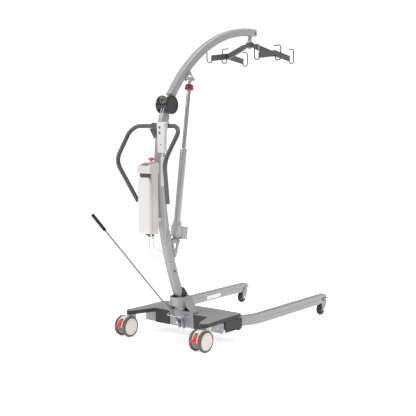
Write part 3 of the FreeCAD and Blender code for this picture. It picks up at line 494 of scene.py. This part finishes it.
def smoothed(piece, angle=35.0):
    alone(piece)
    bpy.ops.object.shade_smooth_by_angle(angle=math.radians(angle))
    return piece


def joined(name, pieces):
    bpy.ops.object.select_all(action="DESELECT")
    for piece in pieces:
        piece.select_set(True)
    bpy.context.view_layer.objects.active = pieces[0]
    if len(pieces) > 1:
        bpy.ops.object.join()
    return named(name)


def kept(piece, body, finish_name, nodes=()):
    """Give a finished piece its material and body, and hide the CAD nodes it stands for."""
    piece.data.materials.clear()
    piece.data.materials.append(finish(finish_name))
    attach(piece, body)
    if nodes:
        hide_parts(*nodes)
    return piece


def body_of(node):
    bodies = frame["record"]["behaviour"]["bodies"]
    return next(body for body, nodes in bodies.items() if node in nodes)


def copied(node, name):
    """A merged copy of a node's mesh, with its flat faces made whole again."""
    piece = bpy.data.objects.new(name, frame["nodes"][node].data.copy())
    bpy.context.scene.collection.objects.link(piece)
    alone(piece)
    if piece.data.has_custom_normals:
        bpy.ops.mesh.customdata_custom_splitnormals_clear()
    opened(piece)
    bpy.ops.mesh.remove_doubles(threshold=2e-6)
    bpy.ops.mesh.dissolve_limited(angle_limit=math.radians(0.05))
    shut()
    return piece


def softened(node, finish_name, radius=0.001, segments=2, angle=30.0):
    """The node with its sharp edges rounded, in place of the node."""
    piece = copied(node, node + "_finished")
    if radius > 0:
        modified(piece, "BEVEL", width=radius, segments=segments, limit_method="ANGLE",
                 angle_limit=math.radians(angle), use_clamp_overlap=True, miter_outer="MITER_ARC")
    smoothed(piece)
    modified(piece, "WEIGHTED_NORMAL", mode="FACE_AREA", weight=100, keep_sharp=True)
    return kept(piece, body_of(node), finish_name, [node])


# ---------------------------------------------------------------- settings
class HoistColours(bpy.types.PropertyGroup):
    """The colours of the hoist's finishes."""

    def colour(name, description, value):
        return bpy.props.FloatVectorProperty(name=name, description=description, default=value,
                                             subtype="COLOR", size=3, min=0.0, max=1.0)

    silver: colour("Silver paint", "Mast, boom and leg paint", (0.36, 0.358, 0.37))
    dark: colour("Dark paint", "Handle and spreader paint", (0.075, 0.075, 0.080))
    hub: colour("Hub", "Hub covers", (0.022, 0.022, 0.026))
    # the cover top's grey is the cover painted lighter, as painted light from above
    cover_top: colour("Cover top", "Top of the base cover", (0.27, 0.265, 0.265))
    cover_side: colour("Cover skirts", "Sides of the base cover", (0.040, 0.040, 0.042))
    box_white: colour("Box white", "Battery, control head and hand control", (0.67, 0.66, 0.64))
    # a darker, warmer copy of the box white: painted shade on the control box's sides and spine
    box_grey: colour("Box grey", "Back of the control box", (0.62, 0.58, 0.55))
    actuator: colour("Actuator", "Motor and gear housing", (0.42, 0.42, 0.42))
    collar_red: colour("Collar red", "Emergency release collar", (0.30, 0.026, 0.036))
    pedal_red: colour("Pedal red", "Brake pedals", (0.88, 0.045, 0.022))
    stop_red: colour("Stop red", "Emergency stop button", (0.88, 0.020, 0.012))
    castor_cream: colour("Castor cream", "Castor discs and hoods", (0.78, 0.71, 0.66))
    tyre_grey: colour("Tyre grey", "Rear castor treads", (0.105, 0.120, 0.112))
    sheath: colour("Cable sheath", "Both cables", (0.56, 0.51, 0.43))


class HoistSizes(bpy.types.PropertyGroup):
    """The sizes of the small pieces that are modelled here."""

    def length(name, description, value):
        return bpy.props.FloatProperty(name=name, description=description, default=value,
                                       unit="LENGTH", min=0.0)

    def count(name, description, value):
        return bpy.props.IntProperty(name=name, description=description, default=value, min=1)

    spring_wire: length("Spring wire", "Wire of the leg lever's springs", 0.0020)
    spring_turns: count("Spring turns", "Turns of each lever spring", 26)
    actuator_cable: length("Actuator cable", "Diameter of the actuator's cable", 0.006)
    handset_cable: length("Hand control cable", "Diameter of the hand control's cable", 0.005)
    bolt: length("Bolt head", "Radius of the usual bolt head", 0.0070)
    edge: length("Sheet edge", "Rounding of cut sheet and welded edges", 0.0010)
    cover_edge: length("Cover edge", "Rounding of the base cover's edges", 0.0018)


# ---------------------------------------------------------------- stage
class HOIST_OT_stage(bpy.types.Operator):
    """Add the floor, the studio light and the camera"""
    bl_idname = "hoist.stage"
    bl_label = "Stage"

    def execute(self, context):
        scene = context.scene
        for name in ("Cube", "Light", "Camera"):
            if name in bpy.data.objects:
                bpy.data.objects.remove(bpy.data.objects[name])
        scene.view_settings.view_transform = "Standard"
        bpy.ops.mesh.primitive_plane_add(size=60, location=(0, 0, 0))
        floor = named("floor")
        paper = Finish("floor_paper", Roughness=0.9, Specular_IOR_Level=0.0, Emission_Strength=0.55)
        paper.feed("Emission Color", paper.between(paper.grain(2.0), (0.98, 0.98, 0.98), (1.0, 1.0, 1.0)))
        paper.feed("Base Color", paper.between(paper.grain(3.0), (0.93, 0.93, 0.93), (0.95, 0.95, 0.95)))
        floor.data.materials.append(paper.material)
        self.backdrop()
        self.world(scene)
        self.lamp("key_light", (-3.4, 1.6, 3.8), 2.4, 95.0)
        self.lamp("top_light", (0.4, -0.4, 4.6), 3.0, 55.0)
        self.lamp("fill_light", (-1.5, -4.6, 2.2), 2.6, 6.0)
        self.lamp("rim_light", (3.6, -1.0, 3.0), 2.2, 30.0)
        self.camera(scene)
        return {"FINISHED"}

    def backdrop(self):
        """A white shell far away that only the camera sees."""
        bpy.ops.mesh.primitive_uv_sphere_add(segments=48, ring_count=24, radius=60)
        shell = named("backdrop")
        for ray in ("diffuse", "glossy", "transmission", "shadow"):
            setattr(shell, "visible_" + ray, False)
        paper = Finish("backdrop_paper", Roughness=1.0, Specular_IOR_Level=0.0, Emission_Strength=1.0)
        paper.feed("Base Color", paper.between(paper.grain(0.1), (0.90, 0.90, 0.90), (0.92, 0.92, 0.92)))
        paper.feed("Emission Color", paper.between(paper.grain(0.1), (1.0, 1.0, 1.0), (0.99, 0.99, 0.99)))
        paper.material.cycles.emission_sampling = "NONE"
        shell.data.materials.append(paper.material)

    def world(self, scene):
        """White behind the hoist; a softly banded studio in what shines."""
        world = bpy.data.worlds.new("studio")
        scene.world = world
        world.use_nodes = True
        nodes, links = world.node_tree.nodes, world.node_tree.links
        place = nodes.new("ShaderNodeTexCoord")
        split = nodes.new("ShaderNodeSeparateXYZ")
        ramp = nodes.new("ShaderNodeValToRGB")
        path = nodes.new("ShaderNodeLightPath")
        mix = nodes.new("ShaderNodeMix")
        mix.data_type = "RGBA"
        ramp.color_ramp.elements[0].position = 0.0
        ramp.color_ramp.elements[0].color = (0.16, 0.16, 0.17, 1)
        ramp.color_ramp.elements[1].position = 0.75
        ramp.color_ramp.elements[1].color = (0.72, 0.72, 0.72, 1)
        links.new(place.outputs["Generated"], split.inputs[0])
        links.new(split.outputs[2], ramp.inputs[0])
        links.new(path.outputs["Is Camera Ray"], mix.inputs[0])
        links.new(ramp.outputs[0], mix.inputs[6])
        mix.inputs[7].default_value = (1.0, 1.0, 1.0, 1.0)
        links.new(mix.outputs[2], nodes["Background"].inputs["Color"])
        nodes["Background"].inputs["Strength"].default_value = 1.0

    def lamp(self, name, place, size, power):
        bpy.ops.object.light_add(type="AREA", location=place)
        lamp = context_object(name)
        lamp.data.energy = power
        lamp.data.size = size
        lamp.rotation_mode = "QUATERNION"
        lamp.rotation_quaternion = (LAMP_TARGET - Vector(place)).to_track_quat("-Z", "Y")

    def camera(self, scene):
        bpy.ops.object.camera_add(location=CAMERA_PLACE)
        camera = context_object("camera")
        camera.rotation_mode = "QUATERNION"
        camera.rotation_quaternion = (CAMERA_TARGET - camera.location).to_track_quat("-Z", "Y")
        camera.data.sensor_width = 36.0
        camera.data.angle = CAMERA_ANGLE
        scene.camera = camera


# ---------------------------------------------------------------- cables
class HOIST_OT_cables(bpy.types.Operator):
    """Add the actuator's cable and the hand control's cable"""
    bl_idname = "hoist.cables"
    bl_label = "Cables"

    def execute(self, context):
        sizes = context.scene.hoist_sizes
        self.cable("actuator_lead", "actuator_cable", ACTUATOR_ROUTE, sizes.actuator_cable,
                   ("root", "actuator"), (ACTUATOR_ROUTE[4], ACTUATOR_ROUTE[9]))
        self.cable("handset_lead", "handset_cable", HANDSET_ROUTE, sizes.handset_cable,
                   ("root", "handset"), (HANDSET_ROUTE[8], HANDSET_ROUTE[1]))
        return {"FINISHED"}

    def cable(self, name, node, route, diameter, bodies, span):
        """A tube round the route's smooth curve."""
        curve = bpy.data.curves.new(name, "CURVE")
        curve.dimensions = "3D"
        curve.resolution_u = 10
        spline = curve.splines.new("NURBS")
        spline.points.add(len(route) - 1)
        for point, place in zip(spline.points, route):
            point.co = (*place, 1.0)
        spline.order_u = 3
        spline.use_endpoint_u = True
        line = bpy.data.objects.new(name + "_line", curve)
        bpy.context.scene.collection.objects.link(line)
        path = [v.co.copy() for v in bpy.data.meshes.new_from_object(line).vertices]
        curve.bevel_depth = diameter / 2
        curve.bevel_resolution = 4
        curve.use_fill_caps = True
        tube = bpy.data.objects.new(name, bpy.data.meshes.new_from_object(line))
        bpy.context.scene.collection.objects.link(tube)
        bpy.data.objects.remove(line)
        closed_up(tube)
        smoothed(tube, 60)
        tube.data.materials.clear()
        tube.data.materials.append(finish("sheath_cream"))
        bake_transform(tube)
        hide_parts(node)


# ---------------------------------------------------------------- frame, mast and boom
class HOIST_OT_frame(bpy.types.Operator):
    """Finish the chassis, mast, boom and legs with rounded edges and silver paint"""
    bl_idname = "hoist.frame"
    bl_label = "Frame"

    def execute(self, context):
        edge = context.scene.hoist_sizes.edge
        for node in ("chassis_frame", "mast_socket", "mast", "boom", "actuator_bracket"):
            softened(node, "silver_paint", edge)
        for side, _ in SIDES:
            softened("leg_" + side, "silver_paint", edge)
        softened("mast_wedge", "black_plastic", edge)
        for node in ("boom_bracket", "leg_pivot_pins", "hub_axle", "lever_pivot", "foot_bail"):
            softened(node, "zinc_steel", edge * 0.6)
        self.slimmed(bpy.data.objects["hub_axle_finished"])
        self.boom_cap()
        return {"FINISHED"}

    def slimmed(self, axle):
        """The hub's pin, a hair thinner, so that its flat facets turn freely in the boom's bore."""
        opened(axle)
        bpy.ops.transform.resize(value=(0.98, 1, 0.98), center_override=HUB)
        shut()

    def boom_cap(self):
        low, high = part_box("boom_end_cap")
        deep, wide = high.z - low.z, high.y - low.y
        length = high.x - low.x
        steps = [(0.0, 0.985), (0.25, 1.0), (0.45, 0.985), (0.65, 0.95), (0.82, 0.89), (0.94, 0.80),
                 (1.0, 0.70)]
        cap = moulded("boom_cap", 0.011, [(s * length, wide * k, deep * k) for s, k in steps])
        aimed(cap, (low.x, 0, (low.z + high.z) / 2), (1, 0, 0))
        kept(smoothed(cap), "boom", "silver_paint", ["boom_end_cap"])


class HOIST_OT_hub(bpy.types.Operator):
    """Add the hub's two glossy covers, their matt faces and the barrel between them"""
    bl_idname = "hoist.hub"
    bl_label = "Hub covers"

    def execute(self, context):
        flank = [(0.0120, 0.0420), (0.0135, 0.0412)]
        for s in (0.2, 0.4, 0.55, 0.7, 0.82, 0.92, 1.0):
            flank.append((0.0135 + 0.0175 * s, 0.0412 + 0.0133 * s * s))
        rim = [(0.0325, 0.0550), (0.0375, 0.0550), (0.0395, 0.0545), (0.0410, 0.0530), (0.0418, 0.0505),
               (0.0420, 0.0450), (0.0419, 0.0442), (0.0398, 0.0436), (0.0396, 0.0300)]
        face = [(0.0380, 0.0434), (0.0404, 0.0434), (0.0408, 0.0428), (0.0408, 0.0290), (0.0406, 0.0282),
                (0.0400, 0.0276), (0.0399, 0.0120)]
        for side, sign in SIDES:
            node = "hub_cover_" + side
            cover = aimed(turned(node + "_shell", flank + rim, 72), HUB, (0, sign, 0))
            kept(smoothed(cover), "root", "hub_gloss", [node])
            disc = aimed(turned(node + "_face", face, 72), HUB, (0, sign, 0))
            kept(smoothed(disc), "root", "hub_face")
        self.barrel()
        return {"FINISHED"}

    def barrel(self):
        """The half ring that closes the gap between the covers behind the hinge."""
        ring = aimed(ringed("hub_barrel", 0.0416, 0.0060, 0.0360, 24), HUB, (0, 1, 0))
        opened(ring)
        bpy.ops.mesh.bisect(plane_co=(HUB.x - 0.001, 0, HUB.z), plane_no=(1, 0, 0),
                            use_fill=True, clear_outer=True)
        shut()
        kept(smoothed(closed_up(ring)), "root", "hub_gloss")


# ---------------------------------------------------------------- base cover
class HOIST_OT_cover(bpy.types.Operator):
    """Finish the base cover and the legs' root panels"""
    bl_idname = "hoist.cover"
    bl_label = "Base cover"

    def execute(self, context):
        edge = context.scene.hoist_sizes.cover_edge
        softened("base_cover", "cover_plastic", edge, 3)
        for side, _ in SIDES:
            softened("leg_cover_" + side, "cover_plastic", edge * 0.6)
        return {"FINISHED"}


# ---------------------------------------------------------------- castors
class HOIST_OT_castors(bpy.types.Operator):
    """Add the rear and front castors' wheels and finish their hoods, forks and pedals"""
    bl_idname = "hoist.castors"
    bl_label = "Castors"

    def execute(self, context):
        for side, _ in SIDES:
            softened("rear_housing_" + side, "castor_cream", 0.0015)
            softened("brake_pedal_" + side, "pedal_red", 0.0012)
            softened("front_fork_" + side, "fork_taupe", 0.0010)
            self.rear_pair(side)
            self.front_wheel(side)
        return {"FINISHED"}

    def tread(self, name, place, radius, depth, width):
        """A rounded tyre on its axle."""
        return smoothed(aimed(ringed(name, radius, depth, width), place, (0, 1, 0)), 80)

    def rear_pair(self, side):
        axle = joint_place("rear_wheel_spin_" + side)
        body = "rear_wheels_" + side
        outer = [(-0.002, 0.0495), (0.0075, 0.0505), (0.0092, 0.0500), (0.0100, 0.0485), (0.0102, 0.0460),
                 (0.0100, 0.0445), (0.0094, 0.0436), (0.0094, 0.0424), (0.0100, 0.0414), (0.0106, 0.0360),
                 (0.0110, 0.0250), (0.0109, 0.0238), (0.0103, 0.0230), (0.0103, 0.0216), (0.0110, 0.0208),
                 (0.0113, 0.0120), (0.0114, 0.0030)]
        inner = [(0.001, 0.0490), (0.0085, 0.0490), (0.0092, 0.0480), (0.0092, 0.0430), (0.0084, 0.0418),
                 (0.0045, 0.0390), (0.0040, 0.0210), (0.0048, 0.0195), (0.0098, 0.0175), (0.0100, 0.0165),
                 (0.0100, 0.0060)]
        low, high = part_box("rear_tyres_" + side)
        gauge = (high.y - low.y) / 2 - 0.011
        discs, rings, hubs = [], [], []
        for n, out in (("a", 1), ("b", -1)):
            centre = axle + Vector((0, out * gauge, 0))
            discs.append(aimed(turned("disc_%s_%s" % (side, n), outer, 64), centre, (0, out, 0)))
            hubs.append(aimed(turned("hub_%s_%s" % (side, n), inner, 64), centre, (0, -out, 0)))
            rings.append(self.tread("tread_%s_%s" % (side, n), centre, REAR_WHEEL_RADIUS, 0.0135, 0.0215))
        bar = [(-0.040, 0.0045), (-0.040, 0.0059), (0.040, 0.0059), (0.040, 0.0045)]
        hubs.append(aimed(turned("axle_" + side, bar, 24), axle, (0, 1, 0)))
        disc = smoothed(joined("rear_wheel_discs_" + side, discs))
        kept(disc, body, "castor_cream", ["rear_discs_" + side])
        kept(smoothed(joined("rear_wheel_hubs_" + side, hubs)), body, "castor_tan")
        tread = joined("rear_wheel_treads_" + side, rings)
        kept(tread, body, "tyre_grey", ["rear_tyres_" + side])

    def front_wheel(self, side):
        axle = joint_place("front_wheel_spin_" + side)
        body = "front_wheel_" + side
        tread = self.tread("front_wheel_tread_" + side, axle, FRONT_WHEEL_RADIUS, 0.0125, 0.0262)
        kept(tread, body, "tyre_dark", ["front_tyre_" + side])
        half = [(-0.0001, 0.0290), (0.0100, 0.0285), (0.0115, 0.0275), (0.0115, 0.0250), (0.0080, 0.0225),
                (0.0075, 0.0120), (0.0085, 0.0105), (0.0140, 0.0095), (0.0142, 0.0052)]
        sides = [aimed(turned("half", half, 48), axle, (0, out, 0)) for out in (1, -1)]
        wheel = smoothed(joined("front_wheel_disc_" + side, sides))
        kept(wheel, body, "wheel_dark", ["front_wheel_" + side])
        head = [(0.0225, 0.0085), (0.0228, 0.0094), (0.0245, 0.0094), (0.0255, 0.0080), (0.0256, 0.0050)]
        bolts = [aimed(turned("bolt", head, 6), axle, (0, out, 0)) for out in (1, -1)]
        kept(joined("front_axle_bolts_" + side, bolts), "front_castor_" + side, "zinc_steel")


# ---------------------------------------------------------------- actuator
class HOIST_OT_actuator(bpy.types.Operator):
    """Add the release collar and finish the actuator's housing, tube and rod"""
    bl_idname = "hoist.actuator"
    bl_label = "Actuator"

    def execute(self, context):
        softened("motor_housing", "actuator_grey", 0.0022, 3)
        softened("actuator_tube", "alloy_tube", 0.0006)
        softened("actuator_rod", "chrome_rod", 0.0004)
        softened("rod_end_eye", "zinc_steel", 0.0008)
        self.collar()
        self.seam()
        return {"FINISHED"}

    def collar(self):
        """The red ring: a straight neck that flares out, with a ribbed skirt."""
        start = middle("release_collar") - ACTUATOR_AXIS * 0.0165
        steps = [(0.0000, 0.0250), (0.0004, 0.0266), (0.0016, 0.0270), (0.0090, 0.0256), (0.0110, 0.0262),
                 (0.0125, 0.0256), (0.0200, 0.0246), (0.0250, 0.0240), (0.0300, 0.0236), (0.0322, 0.0226),
                 (0.0330, 0.0200), (0.0330, 0.0135)]
        ring = aimed(turned("release_collar_shell", steps, 56), start, ACTUATOR_AXIS)
        kept(smoothed(ring), "collar", "collar_red", ["release_collar"])

    def seam(self):
        """The clamped joint ring between the housing and the outer tube, and its bottom seal."""
        start = ACTUATOR_FOOT + ACTUATOR_AXIS * 0.107
        steps = [(0.0, 0.0215), (0.001, 0.0232), (0.004, 0.0236), (0.007, 0.0232), (0.008, 0.0212)]
        seal = aimed(turned("tube_seal", steps, 48), start, ACTUATOR_AXIS)
        kept(smoothed(seal), "actuator", "actuator_grey")
        top = ACTUATOR_FOOT + ACTUATOR_AXIS * 0.529
        steps = [(0.0, 0.0195), (0.0005, 0.0206), (0.006, 0.0206), (0.010, 0.0196), (0.012, 0.0170),
                 (0.012, 0.0124)]
        wiper = aimed(turned("tube_wiper", steps, 48), top, ACTUATOR_AXIS)
        kept(smoothed(wiper), "actuator", "alloy_tube")


# ---------------------------------------------------------------- controls
class HOIST_OT_controls(bpy.types.Operator):
    """Add the battery, the stop button and the hand control, and finish the control box"""
    bl_idname = "hoist.controls"
    bl_label = "Controls"

    def execute(self, context):
        softened("push_handle", "dark_paint", 0.0015)
        softened("handle_bracket", "dark_paint", 0.0010)
        # the control box gets the warm grey: painted shade on its sides and spine
        softened("control_box", "box_grey", 0.0030, 3)
        softened("display_window", "display_glass", 0.0004)
        softened("handset_shell", "handset_white", 0.0028, 3)
        for node in ("up_button", "down_button"):
            softened(node, "key_rubber", 0.0012, 3)
        softened("cable_plugs", "plug_brown", 0.0010)
        self.battery()
        self.stop_button()
        self.small_parts()
        return {"FINISHED"}

    def battery(self):
        low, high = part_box("battery_pack")
        x, wide, deep = (low.x + high.x) / 2, high.y - low.y, high.x - low.x
        base, top = low.z, high.z
        seam = base + 0.085
        steps = [(base, deep - 0.006, wide - 0.008), (base + 0.0006, deep - 0.003, wide - 0.004),
                 (base + 0.0024, deep - 0.0006, wide - 0.0008), (base + 0.005, deep, wide),
                 (seam - 0.0010, deep, wide), (seam - 0.0005, deep - 0.0024, wide - 0.0024),
                 (seam + 0.0009, deep - 0.0024, wide - 0.0024), (seam + 0.0014, deep, wide),
                 (top - 0.036, deep, wide), (top - 0.030, deep - 0.0008, wide - 0.002),
                 (top - 0.020, deep - 0.004, wide - 0.008), (top - 0.012, deep - 0.0080, wide - 0.016),
                 (top - 0.004, deep - 0.0110, wide - 0.024), (top, deep - 0.0130, wide - 0.032)]
        pack = moulded("battery_shell", 0.0085, steps, 8)
        aimed(pack, (x, 0, 0), (0, 0, 1))
        kept(smoothed(pack, 32), "battery", "box_white", ["battery_pack"])
        recess = moulded("battery_grip", 0.006, [(top - 0.006, deep - 0.012, wide - 0.040),
                                                (top - 0.002, deep - 0.010, wide - 0.030),
                                                (top + 0.007, deep - 0.008, wide - 0.020),
                                                (top + 0.021, deep - 0.007, wide - 0.016)], 5)
        aimed(recess, (x + 0.001, 0, 0), (0, 0, 1))
        kept(smoothed(recess), "battery", "recess_black")

    def stop_button(self):
        low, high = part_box("estop_button")
        x, y = (low.x + high.x) / 2, (low.y + high.y) / 2
        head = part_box("control_box")[1].z
        collar = turned("stop_collar", [(head - 0.006, 0.0135), (head + 0.0045, 0.0135),
                                        (head + 0.0065, 0.0125), (head + 0.0065, 0.0080)], 40)
        # the stop collar takes the box's painted-shade warm grey
        kept(smoothed(aimed(collar, (x, y, 0), (0, 0, 1))), "root", "box_grey")
        knob = turned("stop_knob", [(head - 0.001, 0.0060), (head + 0.0115, 0.0060), (head + 0.0120, 0.0135),
                                    (head + 0.0118, 0.0152), (head + 0.0140, 0.0160), (head + 0.0200, 0.0160),
                                    (head + 0.0240, 0.0150), (high.z - 0.0006, 0.0120), (high.z, 0.0070)], 40)
        kept(smoothed(aimed(knob, (x, y, 0), (0, 0, 1)), 50), "estop", "stop_red",
             ["estop_button"])

    def small_parts(self):
        """The box's side screws, the hand control's socket and the clip by the plugs."""
        box_low, box_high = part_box("control_box")
        screw = [(-0.001, 0.0042), (0.0008, 0.0042), (0.0014, 0.0036), (0.0010, 0.0016)]
        screws = []
        for z in (box_low.z + 0.036, box_high.z - 0.090):
            for sign in (1, -1):
                place = (BOX_SCREW_X, sign * BOX_HALF, z)
                screws.append(aimed(turned("screw", screw, 20), place, (0, sign, 0)))
        kept(smoothed(joined("box_screws", screws)), "root", "zinc_steel")
        rim = [(-0.002, 0.0038), (0.0004, 0.0038), (0.0008, 0.0032), (0.0002, 0.0026)]
        dot = turned("handset_socket", rim, 24)
        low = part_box("handset_shell")[0]
        aimed(dot, (low.x, HANDSET_ROUTE[0][1], low.z + 0.066), (-1, 0, 0))
        kept(smoothed(dot), "handset", "recess_black")
        clip = moulded("plug_clip", 0.003, [(0.0, 0.020, 0.022), (0.001, 0.022, 0.024), (0.008, 0.022, 0.024),
                                            (0.010, 0.019, 0.021)], 4)
        aimed(clip, (-0.608, ACTUATOR_ROUTE[0][1], box_low.z - 0.021), (0.3, 0, 1))
        kept(smoothed(clip), "root", "box_white")


# ---------------------------------------------------------------- lever
class HOIST_OT_lever(bpy.types.Operator):
    """Add the leg lever's rubber grip and its two coil springs"""
    bl_idname = "hoist.lever"
    bl_label = "Leg lever"

    def execute(self, context):
        sizes = context.scene.hoist_sizes
        softened("lever_rod", "rod_steel", 0.0008)
        run = LEVER_END - LEVER_FOOT
        start = LEVER_FOOT + run * GRIP_START
        length = (LEVER_END - start).length
        ribs = [(0.0, 0.0085), (0.001, 0.0100)]
        for n in range(9):
            z = 0.012 + n * 0.0095
            ribs += [(z, 0.0100), (z + 0.0010, 0.0093), (z + 0.0030, 0.0093), (z + 0.0040, 0.0100)]
        ribs += [(length, 0.0100), (length + 0.004, 0.0092), (length + 0.008, 0.0062),
                 (length + 0.0097, 0.0025)]
        grip = aimed(turned("lever_grip_rubber", ribs, 32), start, run)
        kept(smoothed(grip, 40), "lever", "grip_rubber", ["lever_grip"])
        lift = Vector((-0.003, -0.0135, 0.004))
        self.coil("overload_spring", "lever_spring", "lever", LEVER_FOOT + run * 0.055 + lift,
                  LEVER_FOOT + run * 0.16 + lift, 0.007, sizes)
        self.coil("return_coil", "return_spring", "root", Vector((-0.346, -0.040, 0.068)),
                  Vector((-0.362, -0.038, 0.124)), 0.0085, sizes)
        return {"FINISHED"}

    def coil(self, name, node, body, start, end, radius, sizes):
        """Wire wound round a line: one ring of the wire, carried round and along."""
        wire = sizes.spring_wire
        length = (end - start).length - wire
        bpy.ops.mesh.primitive_circle_add(vertices=8, radius=wire / 2, rotation=(math.pi / 2, 0, 0),
                                          location=(radius - wire / 2, 0, wire / 2))
        spring = settled(named(name))
        modified(spring, "SCREW", angle=math.tau, steps=14, render_steps=14, iterations=sizes.spring_turns,
                 screw_offset=length / sizes.spring_turns, axis="Z", use_merge_vertices=False)
        opened(spring)
        bpy.ops.mesh.fill_holes(sides=0)
        shut()
        closed_up(spring)
        aimed(spring, start, end - start)
        kept(smoothed(spring, 50), body, "blue_zinc", [node])


# ---------------------------------------------------------------- spreader
class HOIST_OT_spreader(bpy.types.Operator):
    """Finish the hanger, spreader and hooks, and add the hooks' catches"""
    bl_idname = "hoist.spreader"
    bl_label = "Spreader"

    def execute(self, context):
        softened("hanger_head", "zinc_steel", 0.0008)
        for node in ("hanger_hub", "spreader_arms", "crossbar_left", "crossbar_right"):
            softened(node, "dark_paint", 0.0012, 3)
        softened("sling_hooks", "dark_paint", 0.0006)
        low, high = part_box("sling_hooks")
        middle_x = (low.x + high.x) / 2
        hook_tip = high.z - 0.018
        bar_low, bar_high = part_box("crossbar_left")
        catches = []
        for sign in (1, -1):
            y = sign * (bar_low.y + bar_high.y) / 2
            for end in (1, -1):
                tip = Vector((middle_x + end * 0.176, y, hook_tip))
                root = Vector((middle_x + end * 0.171, y, bar_high.z - 0.038))
                catches.append(self.catch(root, tip, 0.0))
            tip = Vector((middle_x, y - sign * 0.002, high.z - 0.008))
            root = Vector((middle_x, y, bar_high.z - 0.003))
            catches.append(self.catch(root, tip, math.pi / 2))
        kept(smoothed(joined("hook_catches", catches)), "spreader", "clear_catch")
        return {"FINISHED"}

    def catch(self, root, tip, spin):
        """A thin springy strip that closes a hook's mouth."""
        run = tip - root
        steps = [(0.0, 0.0010, 0.0065), (run.length * 0.5, 0.0010, 0.0060),
                 (run.length * 0.93, 0.0010, 0.0045), (run.length, 0.0009, 0.0025)]
        strip = moulded("catch", 0.0003, steps, 2)
        return aimed(strip, root, run, spin)


# ---------------------------------------------------------------- fasteners and labels
class HOIST_OT_fasteners(bpy.types.Operator):
    """Add bolt heads, screws, plugs and the plain label strips"""
    bl_idname = "hoist.fasteners"
    bl_label = "Fasteners and labels"

    def execute(self, context):
        head = context.scene.hoist_sizes.bolt
        dome = [(-0.001, head), (0.0015, head), (0.0035, head * 0.86), (0.0048, head * 0.55),
                (0.0050, head * 0.45), (0.0034, head * 0.40)]
        screw = [(-0.0010, 0.0048), (0.0004, 0.0048), (0.0012, 0.0038), (0.0006, 0.0018)]
        plug = [(-0.001, 0.0075), (0.0008, 0.0075), (0.0014, 0.0062), (0.0012, 0.0030)]
        bolts, screws, plugs = [], [], []
        for sign in (1, -1):
            for x, z in GUSSET_BOLTS:
                bolts.append(aimed(turned("bolt", dome, 24), (x, sign * GUSSET_HALF, z), (0, sign, 0)))
            for x, y in COVER_SCREWS:
                screws.append(aimed(turned("screw", screw, 20), (x, sign * y, COVER_TOP), (0, 0, 1)))
            place = (MAST_PLUG[0], sign * TUBE_HALF, MAST_PLUG[1])
            plugs.append(aimed(turned("plug", plug, 24), place, (0, sign, 0)))
        kept(smoothed(joined("gusset_bolts", bolts)), "root", "zinc_steel")
        kept(smoothed(joined("cover_screws", screws)), "root", "zinc_steel")
        kept(smoothed(joined("mast_plugs", plugs)), "root", "black_plastic")
        tip = [aimed(turned("plug", plug, 24), (BOOM_PLUG[0], sign * TUBE_HALF, BOOM_PLUG[1]), (0, sign, 0))
               for sign in (1, -1)]
        kept(smoothed(joined("boom_plugs", tip)), "boom", "black_plastic")
        self.label_strips()
        return {"FINISHED"}

    def label_strips(self):
        """The thin printed strips on the mast's side and on the left leg's inner face."""
        strip = moulded("mast_label", 0.002, [(0.0, 0.0320, 0.166), (0.0003, 0.0320, 0.166)], 3)
        aimed(strip, (-0.5095, -0.0220, 1.002), (0, -1, 0))
        kept(strip, "root", "label_print")
        plate = moulded("leg_label", 0.002, [(0.0, 0.150, 0.026), (0.0003, 0.150, 0.026)], 3)
        aimed(plate, (0.385, LEG_INNER, 0.100), (0, -1, 0))
        kept(plate, "leg_left", "label_print")


# ---------------------------------------------------------------- panel and start
class HOIST_PT_panel(bpy.types.Panel):
    """Lists the hoist's operators, colours and sizes"""
    bl_idname = "HOIST_PT_panel"
    bl_label = "Patient hoist"
    bl_space_type = "VIEW_3D"
    bl_region_type = "UI"
    bl_category = "Hoist"

    def draw(self, context):
        for operator in OPERATORS:
            self.layout.operator(operator.bl_idname)
        for settings in (context.scene.hoist_colours, context.scene.hoist_sizes):
            for name in settings.__annotations__:
                self.layout.prop(settings, name)


OPERATORS = (HOIST_OT_stage, HOIST_OT_cables, HOIST_OT_frame, HOIST_OT_hub, HOIST_OT_cover, HOIST_OT_castors,
             HOIST_OT_actuator, HOIST_OT_controls, HOIST_OT_lever, HOIST_OT_spreader, HOIST_OT_fasteners)
CLASSES = (HoistColours, HoistSizes, *OPERATORS, HOIST_PT_panel)


def register():
    for kind in CLASSES:
        bpy.utils.register_class(kind)
    bpy.types.Scene.hoist_colours = bpy.props.PointerProperty(type=HoistColours)
    bpy.types.Scene.hoist_sizes = bpy.props.PointerProperty(type=HoistSizes)


def unregister():
    del bpy.types.Scene.hoist_sizes
    del bpy.types.Scene.hoist_colours
    for kind in reversed(CLASSES):
        bpy.utils.unregister_class(kind)


def main():
    register()
    for operator in OPERATORS:
        group, name = operator.bl_idname.split(".")
        getattr(getattr(bpy.ops, group), name)()


if __name__ == "__main__":
    main()
